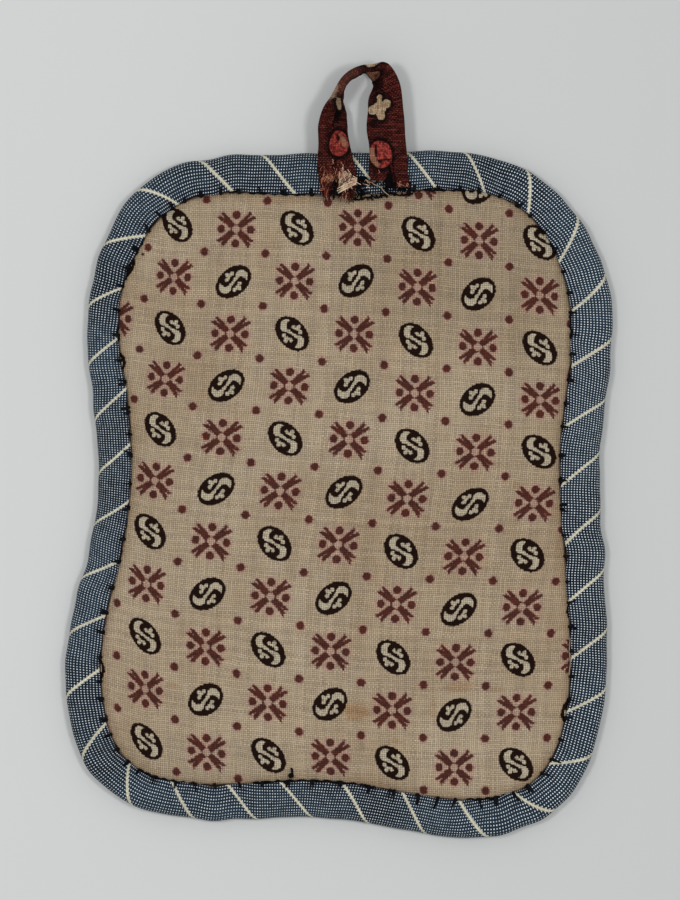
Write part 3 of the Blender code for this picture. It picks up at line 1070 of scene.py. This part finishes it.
def plied(paths, radius, tone):
    """Two plies wound round each other along the paths, as bundles for `threads_mesh`."""
    length = run_along(paths)
    along = unit(np.gradient(paths, axis=1))
    level = unit(np.cross(along, NEARLY_UP))
    upright = np.cross(level, along)
    spread = 0.8 * np.broadcast_to(radius, length.shape)[..., None]
    bundles = []
    for start in (0, pi):
        angle = (2 * pi * length / PLY_TURN + start)[..., None]
        bundles.append((paths + spread * (np.cos(angle) * level + np.sin(angle) * upright), radius, tone))
    return bundles


def seam_frame(run):
    """Seam point, outward direction and direction along the seam, at lengths round the rim."""
    seam = place_on_rim(run, leg_at(run))
    outward = unit(place_on_rim(run, leg_at(run) - 1.0) - seam)
    return seam, outward, np.stack((-outward[..., 1], outward[..., 0]), axis=-1)


def along_seam(run, aside, above):
    """Points at lengths round the rim, `aside` outward of the seam and `above` the panel there."""
    seam, outward, _ = seam_frame(run)
    height = binding_top(run, leg_at(run)) - CLOTH + above
    return np.concatenate((seam + outward * aside[..., None], height[..., None]), axis=-1)


seam, _, _ = seam_frame(stitch_runs)
long_ones = (seam[:, 1] < -80) & (seam[:, 0] > 10)
doubled = stitch_rng.uniform(0, 1, STITCHES) < 0.5
beside = np.concatenate((stitch_runs, stitch_runs[doubled] + stitch_rng.normal(0, 0.45, doubled.sum())))
lean = stitch_rng.normal(0, 0.4, len(beside))
reach = stitch_rng.uniform(0.7, 1.8, len(beside)) + 0.9 * np.concatenate((long_ones, long_ones[doubled]))
seam, outward, along = seam_frame(beside)
edge_top = binding_top(beside, leg_at(beside))
columns = [(row.outward + 0 * reach, row.above + edge_top - CLOTH - 0.1) for row in OVER_EDGE]
columns += [(0.55 * reach, edge_top + 0.14), (reach, edge_top + 0.02), (reach + 0.35, edge_top - 0.5)]
knots = []
for away, above in columns:
    sideways = lean * (away + 0.5) / 2
    flat = seam + outward * away[:, None] + along * sideways[:, None]
    knots.append(np.column_stack((flat, above)))
stitch_paths = smooth_paths(np.stack(knots, axis=1), STITCH_POINTS)
pulled_thin = np.interp(np.linspace(0, 1, STITCH_POINTS), (0.0, 0.5, 1.0), (1.15, 1.0, 0.35))
bundles = plied(stitch_paths, THREAD * pulled_thin, 0.0)

# Between stitches the thread runs along the seam, now under the turned edge and now beside it.
SEAM_THREAD_RUNS = 40
ends = np.linspace(0, RIM_LENGTH, SEAM_THREAD_RUNS + 1)
at = ends[:-1, None] + np.linspace(0, 1.03, 36) * (RIM_LENGTH / SEAM_THREAD_RUNS)
aside = 0.18 + 0.24 * unevenness(at, 0 * at + 70, 4.5)
above = 0.12 + 0.15 * unevenness(at, 0 * at + 90, 5.0)
bundles.append((along_seam(at, aside, above), THREAD * 0.65, 0.0))

# Where the thread lies along the seam between stitches instead of inside it.
Slack = namedtuple("Slack", "place start end outward")
SLACK = (
    Slack("top edge, left of the loop", 9.0, 24.0, 0.1),
    Slack("top left corner", 66.0, 80.0, 0.0),
    Slack("left upper shoulder", 92.0, 99.0, 0.25),
    Slack("bottom left corner", 226.0, 246.0, 0.0),
    Slack("bottom edge, middle", 262.0, 292.0, 0.05),
    Slack("bottom edge, right", 318.0, 332.0, 0.0),
    Slack("right upper shoulder", 470.0, 479.0, 0.1),
    Slack("top edge, right end", 540.0, 552.0, 0.05),
)
for slack in SLACK:
    at = np.linspace(slack.start, slack.end, int((slack.end - slack.start) / 1.2) + 4)
    wiggle = slack.outward + 0.22 * np.sin(at * 2.1) - 0.15
    line = along_seam(at, wiggle, 0.35 + 0.12 * np.cos(at * 1.7))
    bundles += plied(smooth_paths(line[None], 5 * len(line)), THREAD * 0.9, 0.0)

# A bare cream thread, worn out of the panel's edge, lies along the seam on the right.
CREAM_START, CREAM_END = 382.0, 392.5  # as lengths round the rim
at = np.linspace(CREAM_START, CREAM_END, 14)
line = along_seam(at, 0.12 * np.sin(at * 0.9) - 0.2, 0.55 + 0.12 * np.sin(at * 1.3))
bundles.append((smooth_paths(line[None], 50), THREAD * 0.55, 1.0))

# The knot: three small turns of thread, and the tail that hangs on to the binding.
KNOT_X, KNOT_Y = -12.6, -86.0
turns = np.linspace(0, 6 * pi, 40)
knot = np.column_stack(
    (KNOT_X + 0.42 * np.cos(turns), KNOT_Y + 0.36 * np.sin(turns), 6.35 + 0.3 * np.sin(turns * 1.37))
)
tail = np.array([(KNOT_X, KNOT_Y, 6.5), (KNOT_X + 0.3, KNOT_Y + 0.9, 6.6), (KNOT_X + 0.1, KNOT_Y + 2.0, 6.1)])
bundles += plied(knot[None], THREAD, 0.0) + plied(smooth_paths(tail[None], 14), THREAD * 0.9, 0.0)


def thread_cotton(name, tones):
    """Sewing thread: `tones` are (position on the map "Tone", colour)."""
    material, tree, inputs = cotton(name, roughness=0.9, sheen=0.0)
    tone, strand, _ = parts_of(uv(tree, "Tone"))
    cloud = noise(own_place(tree), 900.0)
    colour = tones[0][1]
    for position, shade in tones[1:]:
        colour = colour_mix(tone.ramp(position - 0.06, position - 0.05), colour, shade)
    feed(inputs["Base Color"], shade_by(colour, (cloud * 0.9 + 0.55) * (strand * 0.7 + 0.62)))
    return material


black = [(0.0, dye(20, 19, 23)), (1.0, dye(196, 172, 144))]
piece(
    "whip_stitches",
    threads_mesh("whip_stitches", bundles),
    thread_cotton("black_thread", black),
)

# ----------------------------------------
# The hanging loop
# A strip of brown madder print folded in three along its length. Both raw ends are sewn down on the
# binding; between them the tape turns on edge over the arch, its printed face inward.
# ----------------------------------------

# The tape between its two long edges: the outer edge rises to be the upper one over the arch.
Hold = namedtuple("Hold", "place outer_x outer_y outer_z inner_x inner_y inner_z")
LOOP = (
    Hold("left end, sewn down", -3.8, 65.8, 7.4, 4.4, 66.2, 7.4),
    Hold("left leg, over the seam", -4.7, 70.5, 7.4, 4.8, 70.5, 7.4),
    Hold("left leg, on the binding", -5.1, 74.3, 7.5, 4.1, 74.5, 7.3),
    Hold("left leg, leaving the rim", -5.3, 78.2, 8.3, 3.3, 78.3, 6.2),
    Hold("left leg, starting to turn", -5.3, 82.8, 9.3, 2.5, 82.6, 4.7),
    Hold("left leg, half turned", -4.5, 87.5, 9.9, 1.85, 87.3, 3.4),
    Hold("left leg, mostly turned", -3.1, 90.8, 10.3, 1.2, 90.5, 2.2),
    Hold("arch, left foot", -1.35, 92.9, 10.6, 0.3, 93.0, 1.4),
    Hold("arch, left side, on edge", 0.3, 95.6, 10.7, 0.6, 95.6, 1.2),
    Hold("arch, left shoulder", 2.4, 98.5, 10.8, 2.6, 98.4, 1.2),
    Hold("arch, top", 6.5, 100.7, 10.8, 6.6, 100.6, 1.2),
    Hold("arch, starting to lie down", 9.4, 101.2, 10.6, 8.0, 99.4, 1.5),
    Hold("right shoulder, highest", 11.9, 102.0, 10.0, 9.1, 98.0, 2.3),
    Hold("right shoulder, turning", 13.8, 100.6, 9.2, 9.5, 96.5, 3.7),
    Hold("right shoulder, outer bend", 15.2, 97.9, 8.3, 8.8, 94.7, 5.2),
    Hold("right leg, nearly flat", 16.1, 94.5, 7.8, 7.9, 92.6, 6.3),
    Hold("right leg, flat", 16.8, 90.5, 7.5, 7.6, 89.5, 6.9),
    Hold("right leg, middle", 17.3, 86.0, 7.4, 7.5, 85.5, 7.1),
    Hold("right leg, reaching the rim", 17.5, 79.5, 7.4, 7.8, 79.5, 7.3),
    Hold("right leg, on the binding", 17.9, 74.0, 7.4, 8.4, 74.0, 7.4),
    Hold("right end, sewn down", 18.9, 69.1, 7.4, 8.8, 69.1, 7.4),
)
TAPE_CLOTH = 0.38
FACE_DEPTH = 0.75  # the printed face above the tape's middle
FIRST_FOLD = -0.1  # the printed side of the layer folded in first
TAPE_STATIONS = 240
SPAN_STEPS = 24
TORN_BACK = 6.6  # the face is torn off this far from the left end, over its inner part
TORN_LAYERS = 1.6  # the layers beneath are torn off this far from it


def tape_section():
    """Way across (1 at the outer edge, -1 at the inner), depth, reach past an edge, and share of the face.

    The strip starts inside, goes to the inner edge, over the face, round the outer edge and back underneath.
    Its two edges are half circles. Depth and reach are in millimetres.
    """
    half = np.linspace(0, pi, 8)
    small, large = (FACE_DEPTH - FIRST_FOLD) / 2, FACE_DEPTH
    inside = np.linspace(0.3, -1, 8)[:-1]
    face = np.linspace(-1, 1, 34)[1:-1]
    under = np.linspace(1, -0.6, 10)[1:]
    turn_depth = (FACE_DEPTH + FIRST_FOLD) / 2 - small * np.cos(half)
    parts = (
        (inside, FIRST_FOLD + 0 * inside, 0 * inside, 0 * inside),
        (-1 + 0 * half, turn_depth, -small * np.sin(half), half / pi),
        (face, FACE_DEPTH + 0 * face, 0 * face, 1 + 0 * face),
        (1 + 0 * half, large * np.cos(half), large * np.sin(half), 1 - half / pi),
        (under, -FACE_DEPTH + 0 * under, 0 * under, 0 * under),
    )
    return [np.concatenate(column) for column in zip(*parts)]


def tape_line(steps):
    """Length along the tape, and in one row for each place its middle, half width and two directions."""
    line = spline([row[1:] for row in LOOP], steps, closed=False)
    outer, inner = line[:, :3], line[:, 3:]
    middle = (outer + inner) / 2
    half = np.linalg.norm(outer - inner, axis=1)[:, None] / 2
    across = (outer - inner) / (2 * half)
    through = unit(np.cross(np.gradient(middle, axis=0), across))
    return run_along(middle), np.concatenate((middle, half, across, through), axis=1)


def soft_step(value, start, end):
    """0 before `start`, 1 after `end`, and 3t²-2t³ between them."""
    t = np.clip((value - start) / (end - start), 0, 1)
    return t * t * (3 - 2 * t)


line_run, line = tape_line(SPAN_STEPS)
TAPE_LENGTH = float(line_run[-1])
flat, depth, past_edge, on_face = tape_section()
torn = 0.7 + TORN_LAYERS * (1 - on_face) + (TORN_BACK - 0.7) * on_face * soft_step(flat, 0.68, 0.46)
torn = torn + 0.45 * unevenness(flat * 5, 4 * on_face, 2.6)
frayed = 0.2 + 2.0 * soft_step(flat, -0.1, -0.25) + 0.3 * unevenness(flat * 5 + 60, 4 * on_face, 2.4)
station = np.linspace(0, 1, TAPE_STATIONS)[:, None]
tape_run = torn + (TAPE_LENGTH - torn - frayed) * station
lie = np.stack([np.interp(tape_run, line_run, column) for column in line.T], axis=-1)
middle, half, across_way, through = np.split(lie, (3, 4, 7), axis=-1)
half = half[..., 0]

from_end = TAPE_LENGTH - tape_run
over_arch = bell(tape_run / TAPE_LENGTH - 0.42, 0.13)
left_leg = soft_step(tape_run, 27.0, 22.0)
out = flat * (half - FACE_DEPTH * 0.6) + past_edge * (1 + 0.5 * over_arch)
out = out + 0.28 * unevenness(tape_run, 3 * np.sign(flat), 10.0) * np.abs(flat)
wrinkles = 0.16 * unevenness(tape_run, out * 0.25, 4.5) + 0.1 * unevenness(tape_run, out * 0.5 + 30, 2.2)
roll = 0.4 * bell(flat - 0.62, 0.4) - 0.45 * bell(flat - 0.12, 0.1)
PLEAT_ACROSS = 0.9  # the pleat by which the right leg is narrowed where it is sewn down
pleat = -0.75 * bell(out - PLEAT_ACROSS, 0.6) * soft_step(from_end, 9.0, 5.5)
lifted = depth * (1 + 0.45 * over_arch) + on_face * (wrinkles + left_leg * roll + pleat)
tape = middle + across_way * out[..., None] + through * lifted[..., None]
cloth_across = run_along(np.stack((out, depth + 0 * out), axis=-1))
face_middle = int(np.argmin(np.abs(flat) + (on_face < 1)))
cloth_across = cloth_across - cloth_across[:, face_middle : face_middle + 1]
tape_maps = {"Tape": np.stack((tape_run, cloth_across), axis=-1)}

# The print along the tape: flowers and berries in turn. `up` is the way its top points.
Figure = namedtuple("Figure", "place kind along across up")
FIGURES = (
    Figure("left leg, on the binding", "round berry", 15.1, -0.95, 1),
    Figure("left leg, in the turn", "petal", 24.9, -0.5, 1),
    Figure("arch, left, over the outer edge", "worn", 28.3, 6.9, 1),
    Figure("arch, top, over the outer edge", "patch", 40.3, 7.0, 1),
    Figure("right shoulder, in the turn", "dull berry", 41.4, -0.9, 1),
    Figure("right leg, clear of the rim", "flower", TAPE_LENGTH - 21.6, -1.3, -1),
    Figure("right leg, on the binding", "berry", TAPE_LENGTH - 9.1, -1.55, -1),
)
# Painted shade: the dark colour is laid where the tape turns away from the light and in its folds and
# hollows; WORN is a rubbed place.
PAINTED_SHADE, WORN = dye(9, 4, 5), dye(146, 100, 82)
TAPE_MARKS = (
    Mark("below the petal", -0.4, 22.5, 1.5, 1.9, 0.95, PAINTED_SHADE),
    Mark("in the fold beside the roll", 0.8, 20.0, 0.6, 3.0, 0.8, PAINTED_SHADE),
    Mark("arch, where it starts to lie down", 3.0, 38.2, 1.5, 0.9, 0.8, PAINTED_SHADE),
    Mark("right shoulder, in the turn", -1.6, 45.6, 2.2, 2.4, 0.75, PAINTED_SHADE),
    Mark("below the flower, inner side", -2.9, 56.4, 1.3, 1.3, 0.8, PAINTED_SHADE),
    Mark("beside the right berry, above", -1.2, 61.0, 2.2, 0.8, 0.4, PAINTED_SHADE),
    Mark("dull berry, its far half", -0.1, 42.8, 2.2, 1.2, 0.55, PAINTED_SHADE),
    Mark("arch, rubbed along the outer edge", 5.2, 33.0, 2.2, 5.0, 0.16, WORN),
)
FLOWER = (
    Lobe("heart", 0.1, -0.1, 1.75),
    Lobe("upper petal", 0.25, 2.75, 0.72),
    Lobe("its stalk", 0.2, 1.9, 0.58),
    Lobe("outer petal", 1.95, 0.75, 1.12),
    Lobe("inner petal", -1.75, -0.45, 1.3),
    Lobe("lower petal", 0.35, -2.35, 1.0),
    Lobe("lower petal's root", 0.2, -1.4, 1.15),
)


def madder_print():
    """Brown madder ground, mottled darker, with cream flowers and red berries, each in a dark halo, and
    painted shade in its turns, folds and pleat.
    """
    material, tree, inputs = cotton("madder_print", roughness=0.92, sheen=0.0)
    strip = uv(tree, "Tape")
    along, across, _ = parts_of(strip)
    thread = 0.46
    weave = use(WEAVE, Threads=vector(across / thread, along / thread), Wander=1.2)
    ragged = noise(strip, 1.3, detail=3.0) - 0.5
    flowers, berries, tans, slits = [], [], [], []
    for figure in FIGURES:
        x, y = across - figure.across, (along - figure.along) * figure.up
        if figure.kind == "flower":
            flowers.append(nearest([spot(x, y, lobe.x, lobe.y, lobe.radius) for lobe in FLOWER]))
        elif figure.kind == "petal":
            tongue = (-x - 1.3).math("MAXIMUM", (x - y * 1.7 - 1.5) * 0.5).math("MAXIMUM", abs(y - 1.4) - 1.2)
            tongue = tongue.math("MAXIMUM", y - x * 0.5 - 2.1)
            flowers.append(nearest([tongue, hypotenuse(x * 0.75, y) - 0.8]))
        elif figure.kind == "patch":
            flowers.append(hypotenuse(x, y * 0.75) - 1.3)
        elif figure.kind == "worn":
            worn = (hypotenuse(x, y * 0.45) - 1.0 + ragged * 1.5).ramp(0.5, -0.5)
        elif figure.kind == "dull berry":
            berry = hypotenuse(x * 0.8, y) - 2.2
            berries.append(berry)
            tans.append(berry.math("MAXIMUM", 0.85 - hypotenuse(x - 0.2, y - 0.6)))
        elif figure.kind == "round berry":
            berry = hypotenuse(x + y * 0.08, y * 0.83) - 2.85
            patch_x, patch_y = turned(x + 1.4, y - 0.6, -28)
            berries.append(berry)
            tans.append(berry.math("MAXIMUM", hypotenuse(patch_x, patch_y * 0.5) - 0.85))
            slits.append(hypotenuse(x - 0.2, (y - 1.5) * 0.7) - 0.55)
        else:
            berry = hypotenuse(x, y * 0.83) - 3.0
            berries.append(berry)
            red_part = 2.6 - hypotenuse(x - 1.0, (y - 0.7) * 0.8)
            tans.append(nearest([-berry, -red_part, -(x + 0.75), -(y - 1.7)]) * -1.0)
            slit = (abs(x + 1.15) - 0.32).math("MAXIMUM", abs(y - 0.85) - 1.6)
            hook = (abs(x - 0.7) - 1.9).math("MAXIMUM", abs(y + 1.55 - x * 0.05) - 0.2)
            knob = hypotenuse((x + 0.3) * 0.8, y + 1.85) - 0.52
            slits.append(nearest([slit, hook, knob]))
    flower, berry = nearest(flowers) + ragged * 0.5, nearest(berries) + ragged * 0.35
    mottle = noise(strip, 0.55, detail=4.0, roughness=0.65)
    cloth = colour_mix(mottle.ramp(0.35, 0.65), dye(62, 19, 16), dye(18, 5, 5))
    ribs = noise(vector(across * 0.3, along * 2.1), 1.0).ramp(0.48, 0.68)
    crosswise = weave["Crosswise on top"] * weave["Height"].ramp(0.4, 0.9)
    cloth = colour_mix(crosswise * 0.3 + ribs * 0.34, cloth, dye(146, 70, 58))
    cloth = colour_mix(noise(strip, 1.7).ramp(0.56, 0.7) * 0.7, cloth, dye(24, 8, 8))
    halo = nearest([flower, berry]) + ragged * 1.8
    cloth = colour_mix(halo.ramp(1.7, 0.3) * 0.95, cloth, dye(17, 7, 8))
    faded = noise(strip, 0.9, detail=4.0).ramp(0.35, 0.65)
    cream = colour_mix(faded, dye(160, 132, 100), dye(196, 172, 142))
    cloth = colour_mix(inked(flower, 0.15), cloth, cream)
    cloth = colour_mix(worn * 0.62, cloth, dye(188, 160, 134))
    red = colour_mix(noise(strip, 1.1, detail=4.0).ramp(0.38, 0.62), dye(106, 34, 34), dye(176, 74, 62))
    cloth = colour_mix(inked(berry, 0.15), cloth, red)
    cloth = colour_mix(inked(nearest(tans) + ragged * 0.5, 0.3) * 0.85, cloth, dye(156, 114, 88))
    cloth = colour_mix(inked(nearest(slits), 0.15) * 0.95, cloth, dye(16, 6, 8))
    # Painted shade in the tape's turns and folds, and one rubbed place on the arch.
    for mark in TAPE_MARKS:
        away = hypotenuse((across - mark.x) / mark.reach_x, (along - mark.y) / mark.reach_y)
        cloth = colour_mix((away + ragged * 1.2).ramp(1.3, 0.6) * mark.strength, cloth, mark.colour)
    flecks = noise(strip, 2.2).ramp(0.58, 0.72)
    by_left_end = along.ramp(12.0, 9.5)
    cloth = colour_mix(flecks * (by_left_end * 0.5 + 0.12), cloth, dye(160, 110, 96))
    # Painted shadow in the pleat at the right leg's end, and painted shade on the torn layers beneath the
    # face at the left end.
    to_end = (along - TAPE_LENGTH).ramp(-5.5, -0.5)
    pleat_shadow = (abs(across - PLEAT_ACROSS + to_end) - 0.45 - to_end * 1.2 + ragged).ramp(0.5, -0.2)
    pleat_shadow = pleat_shadow * (along - TAPE_LENGTH).ramp(-7.5, -5.0)
    shade_beneath = (abs(across) - 6.3).ramp(-0.3, 0.4) * (along - 18.0).ramp(0.0, -2.0)
    cloth = colour_mix(pleat_shadow.math("MAXIMUM", shade_beneath) * 0.97, cloth, dye(6, 3, 3))
    cloth = colour_mix(weave["Gap"] * 0.85, cloth, dye(10, 3, 3))
    finish_cloth(inputs, cloth, weave, contrast=0.7, relief=0.13)
    return material


tape_data = surface("hanging_loop", tape, tape_maps)
loop = piece("hanging_loop", tape_data, madder_print(), nodes=["loop"])
solidify(loop, TAPE_CLOTH)

# ----------------------------------------
# The loop's frayed ends and its stitching
# Where the raw ends have worn, the tape's own yarns hang loose over the binding. Black thread, gone round
# and round, holds them down along the seam, with one cream thread among it.
# ----------------------------------------

# Places on the map "Tone".
CREAM, RED_BROWN, DARK_BROWN, BLACK, PINK, ORANGE = 0.0, 0.2, 0.4, 0.6, 0.8, 1.0
DUSTY = (RED_BROWN, DARK_BROWN, DARK_BROWN, PINK)
DARK = (DARK_BROWN, BLACK, DARK_BROWN, RED_BROWN)
WARM = (ORANGE, RED_BROWN, ORANGE, DARK_BROWN)
RED = (RED_BROWN, RED_BROWN, DARK_BROWN, DARK_BROWN, PINK)
PALE = (CREAM, CREAM, CREAM, PINK)
SLIT = (BLACK, BLACK, DARK_BROWN)
ROSY = (PINK, RED_BROWN, PINK)

Tuft = namedtuple(
    "Tuft", "place strands root_x root_y root_z root_width tip_x tip_y tip_z tip_width stray tones"
)
TUFTS = (
    Tuft("fluff below the berry", 34, -0.6, 76.2, 8.3, 7.4, -0.4, 75.2, 8.45, 7.4, 0.3, RED),
    Tuft("fluff above the fan", 40, -2.0, 74.6, 8.3, 5.6, -2.0, 73.3, 8.45, 5.6, 0.3, RED),
    Tuft("torn edge, outer side", 44, -2.2, 72.9, 8.3, 4.2, -2.3, 71.5, 8.5, 4.4, 0.3, WARM),
    Tuft("red yarns, outer side", 44, -2.9, 71.4, 8.4, 2.8, -3.0, 66.2, 8.2, 1.7, 0.25, RED),
    Tuft("dark yarns in the slit", 34, -0.5, 71.6, 8.5, 1.2, -1.8, 66.4, 8.3, 1.8, 0.2, SLIT),
    Tuft("short yarns across, outer side", 12, -4.0, 69.0, 8.4, 2.6, -2.9, 68.8, 8.6, 2.6, 0.4, RED),
    Tuft("cream fan, down", 54, 1.5, 73.1, 8.2, 2.2, 1.9, 69.2, 8.0, 4.2, 0.34, PALE),
    Tuft("cream fan, to the right", 28, 2.2, 72.7, 8.3, 1.2, 4.6, 70.4, 8.3, 1.8, 0.3, PALE),
    Tuft("cream fan, across", 34, 4.5, 71.3, 8.5, 0.8, 0.5, 69.2, 8.4, 0.8, 0.28, PALE),
    Tuft("dark yarns through the fan", 7, 2.8, 73.0, 8.6, 2.6, 1.6, 69.4, 8.6, 3.2, 0.5, DARK),
    Tuft("red yarns below the fan", 34, 1.6, 69.4, 7.8, 2.6, 1.7, 66.4, 6.8, 2.6, 0.35, RED),
    Tuft("dark yarns below the fan", 24, 3.0, 68.6, 7.2, 1.8, 3.0, 65.7, 6.2, 2.0, 0.35, DARK),
    Tuft("over the pleat's inner part", 30, 10.2, 73.2, 8.2, 3.2, 10.8, 70.4, 7.3, 3.4, 0.4, DUSTY),
    Tuft("in the pleat", 20, 13.2, 73.0, 8.0, 2.2, 13.2, 70.0, 7.8, 2.6, 0.5, SLIT),
    Tuft("raw edge, right leg", 18, 16.7, 70.4, 8.2, 3.0, 17.0, 69.7, 8.0, 3.4, 0.25, ROSY),
    Tuft("pale threads between the legs", 5, 6.8, 70.8, 7.8, 1.2, 8.2, 69.9, 7.7, 1.2, 0.3, (CREAM, PINK)),
    Tuft("one pale yarn on the torn end", 3, 1.0, 75.0, 8.5, 0.2, 1.1, 73.9, 8.5, 0.3, 0.1, PALE),
    Tuft("pink yarns over the fan's top", 16, 1.1, 73.4, 8.75, 2.2, 1.3, 72.2, 8.7, 2.4, 0.3, (PINK, CREAM)),
    Tuft("orange yarns, outer side", 14, -2.9, 72.6, 8.75, 2.4, -3.0, 71.0, 8.7, 2.6, 0.3, (ORANGE, PINK)),
)
fray_rng = np.random.default_rng(23)


def loose_yarns(tuft):
    """Paths from points along the root's width to points along the tip's, each bent and shifted at random."""
    side = fray_rng.uniform(-0.5, 0.5, tuft.strands)
    long = fray_rng.uniform(0.55, 1.12, tuft.strands)
    bend = fray_rng.normal(0, tuft.stray, (2, tuft.strands))
    lift = fray_rng.uniform(-0.25, 0.3, tuft.strands)
    shift = fray_rng.normal(0, 0.45, tuft.strands)
    knots = []
    for share, sway in ((0.0, 0 * side), (0.35, bend[0]), (0.7, bend[1]), (1.0, bend.sum(0))):
        way = share * long
        width = tuft.root_width + (tuft.tip_width - tuft.root_width) * way
        x = tuft.root_x + (tuft.tip_x - tuft.root_x) * way + side * width + sway
        y = tuft.root_y + (tuft.tip_y - tuft.root_y) * way + 0.8 * bend[1] * share + shift
        z = tuft.root_z + (tuft.tip_z - tuft.root_z) * way**1.4 + 0.2 * bend[0] + lift * (0.4 + share)
        knots.append(np.column_stack((x, y, z)))
    return smooth_paths(np.stack(knots, axis=1), 10)


YARN = 0.075
frays = []
for tuft in TUFTS:
    paths = loose_yarns(tuft)
    thick = YARN * fray_rng.uniform(0.75, 1.35, tuft.strands)
    frays.append((paths, thick[:, None], fray_rng.choice(tuft.tones, tuft.strands)))
raw_edge = np.array([(15.3, 70.9, 8.2), (15.9, 70.3, 8.35), (16.8, 70.0, 8.3), (17.8, 69.5, 8.1)])
frays += plied(smooth_paths(raw_edge[None], 20), YARN, PINK)
yarn_tones = [
    (CREAM, dye(222, 198, 168)),
    (RED_BROWN, dye(98, 38, 30)),
    (DARK_BROWN, dye(36, 16, 14)),
    (BLACK, dye(10, 8, 10)),
    (PINK, dye(176, 124, 106)),
    (ORANGE, dye(172, 112, 76)),
]
piece("loop_fray", threads_mesh("loop_fray", frays), thread_cotton("frayed_yarn", yarn_tones))

# Black thread wandering to and fro: each run goes from one end to the other while it swings about.
Wander = namedtuple("Wander", "place start_x start_y end_x end_y swing turns high")
TANGLE = (
    Wander("beside the fan, upper", 4.6, 72.8, 6.4, 70.2, 0.5, 2.3, 7.2),
    Wander("beside the fan, lower", 5.0, 70.4, 5.6, 66.8, 0.6, 3.1, 7.0),
    Wander("between the legs, across", 5.2, 72.0, 9.4, 70.6, 0.45, 3.4, 7.1),
    Wander("between the legs, back", 9.6, 70.2, 5.6, 70.9, 0.5, 2.7, 6.9),
    Wander("at the seam, left", 3.8, 66.4, 8.8, 66.5, 0.35, 3.1, 6.5),
    Wander("at the seam, middle", 8.2, 66.9, 12.6, 67.1, 0.35, 3.3, 6.6),
    Wander("under the right leg's end", 11.6, 69.4, 18.6, 68.8, 0.5, 4.4, 7.2),
    Wander("at the seam, right", 11.0, 67.5, 19.2, 67.5, 0.3, 4.3, 6.8),
    Wander("over the pleat", 13.6, 73.4, 12.8, 69.2, 0.5, 3.1, 8.0),
    Wander("beside the pleat", 12.2, 71.6, 14.8, 69.6, 0.5, 3.7, 7.8),
    Wander("right of the leg", 18.4, 70.6, 19.2, 67.6, 0.3, 2.3, 7.0),
)
tangle = []
for wander in TANGLE:
    way = np.linspace(0, 1, 60)
    swing = 2 * pi * wander.turns * way + 3 * wander.start_x
    x = wander.start_x + (wander.end_x - wander.start_x) * way + wander.swing * np.cos(swing)
    y = wander.start_y + (wander.end_y - wander.start_y) * way + wander.swing * np.sin(swing * 1.37)
    line = np.column_stack((x, y, wander.high + 0.25 * np.sin(swing * 0.71)))
    tangle += plied(line[None], THREAD * 0.7, BLACK)
cream_thread = np.array(
    [(8.4, 71.4, 7.4), (9.3, 70.2, 7.9), (11.0, 69.5, 8.1), (12.0, 68.3, 7.8), (13.4, 67.2, 6.9)]
)
tangle.append((smooth_paths(cream_thread[None], 24), 0.12, CREAM))
stitching_tones = [(CREAM, dye(196, 184, 150)), (BLACK, dye(16, 14, 18))]
piece(
    "loop_stitching",
    threads_mesh("loop_stitching", tangle),
    thread_cotton("loop_thread", stitching_tones),
)

# ----------------------------------------
# The table, the light and the camera
# A plain pale table top, two soft boxes high on the left and right, and a long lens straight above.
# ----------------------------------------


def table_top():
    """Plain pale sheet with painted shade that dulls it a little to the right, in one wide slope."""
    made = bpy.data.materials.new("table_top")
    made.use_nodes = True
    tree = made.node_tree
    inputs = tree.nodes["Principled BSDF"].inputs
    inputs["Roughness"].default_value = 0.8
    place = own_place(tree)
    x, _, _ = parts_of(place)
    cloud = noise(place, 6.0)
    tone = colour_mix(cloud, dye(218, 220, 219), dye(213, 215, 214))
    # Painted shade: darker towards the right.
    tone = colour_mix(x.ramp(-0.14, 0.14), tone, dye(203, 205, 204))
    feed(inputs["Base Color"], tone)
    return made


TABLE_SIDE = 2400.0
UNDER_CLOTH = 0.02  # how far the table lies below the back
corners = np.array([[[-1, -1, 0], [-1, 1, 0]], [[1, -1, 0], [1, 1, 0]]]) * TABLE_SIDE / 2
table = in_scene("table_top", surface("table_top", corners - np.array((0, 0, UNDER_CLOTH)), {}))
table.data.materials.append(table_top())

# Lamp = a square soft box, with its place and its distance in metres and its power in watts.
Lamp = namedtuple("Lamp", "name x y z side power")
LAMPS = (
    Lamp("left_soft_box", -0.46, 0.1, 1.25, 0.2, 4.0),
    Lamp("right_soft_box", 0.46, 0.04, 1.25, 0.2, 4.0),
)
for lamp in LAMPS:
    light = bpy.data.lights.new(lamp.name, "AREA")
    light.size = lamp.side
    light.energy = lamp.power
    made = in_scene(lamp.name, light)
    made.location = (lamp.x, lamp.y, lamp.z)
    made.rotation_euler = made.location.to_track_quat("Z", "Y").to_euler()

room = bpy.data.worlds.new("room")
room.use_nodes = True
room.node_tree.nodes["Background"].inputs["Color"].default_value = (0.98, 0.985, 1.0, 1.0)
room.node_tree.nodes["Background"].inputs["Strength"].default_value = 0.52
bpy.context.scene.world = room

VIEW_HEIGHT = 238.1  # height of the view at the pot holder's rim
CAMERA_HEIGHT = 2500.0
camera = in_scene("camera", bpy.data.cameras.new("camera"))
camera.location = (0.34 * MM, 0.05 * MM, CAMERA_HEIGHT * MM)
camera.data.sensor_width = 36.0
camera.data.lens = camera.data.sensor_width * (CAMERA_HEIGHT - ROUND) / VIEW_HEIGHT
bpy.context.scene.camera = camera
bpy.context.scene.view_settings.view_transform = "Standard"
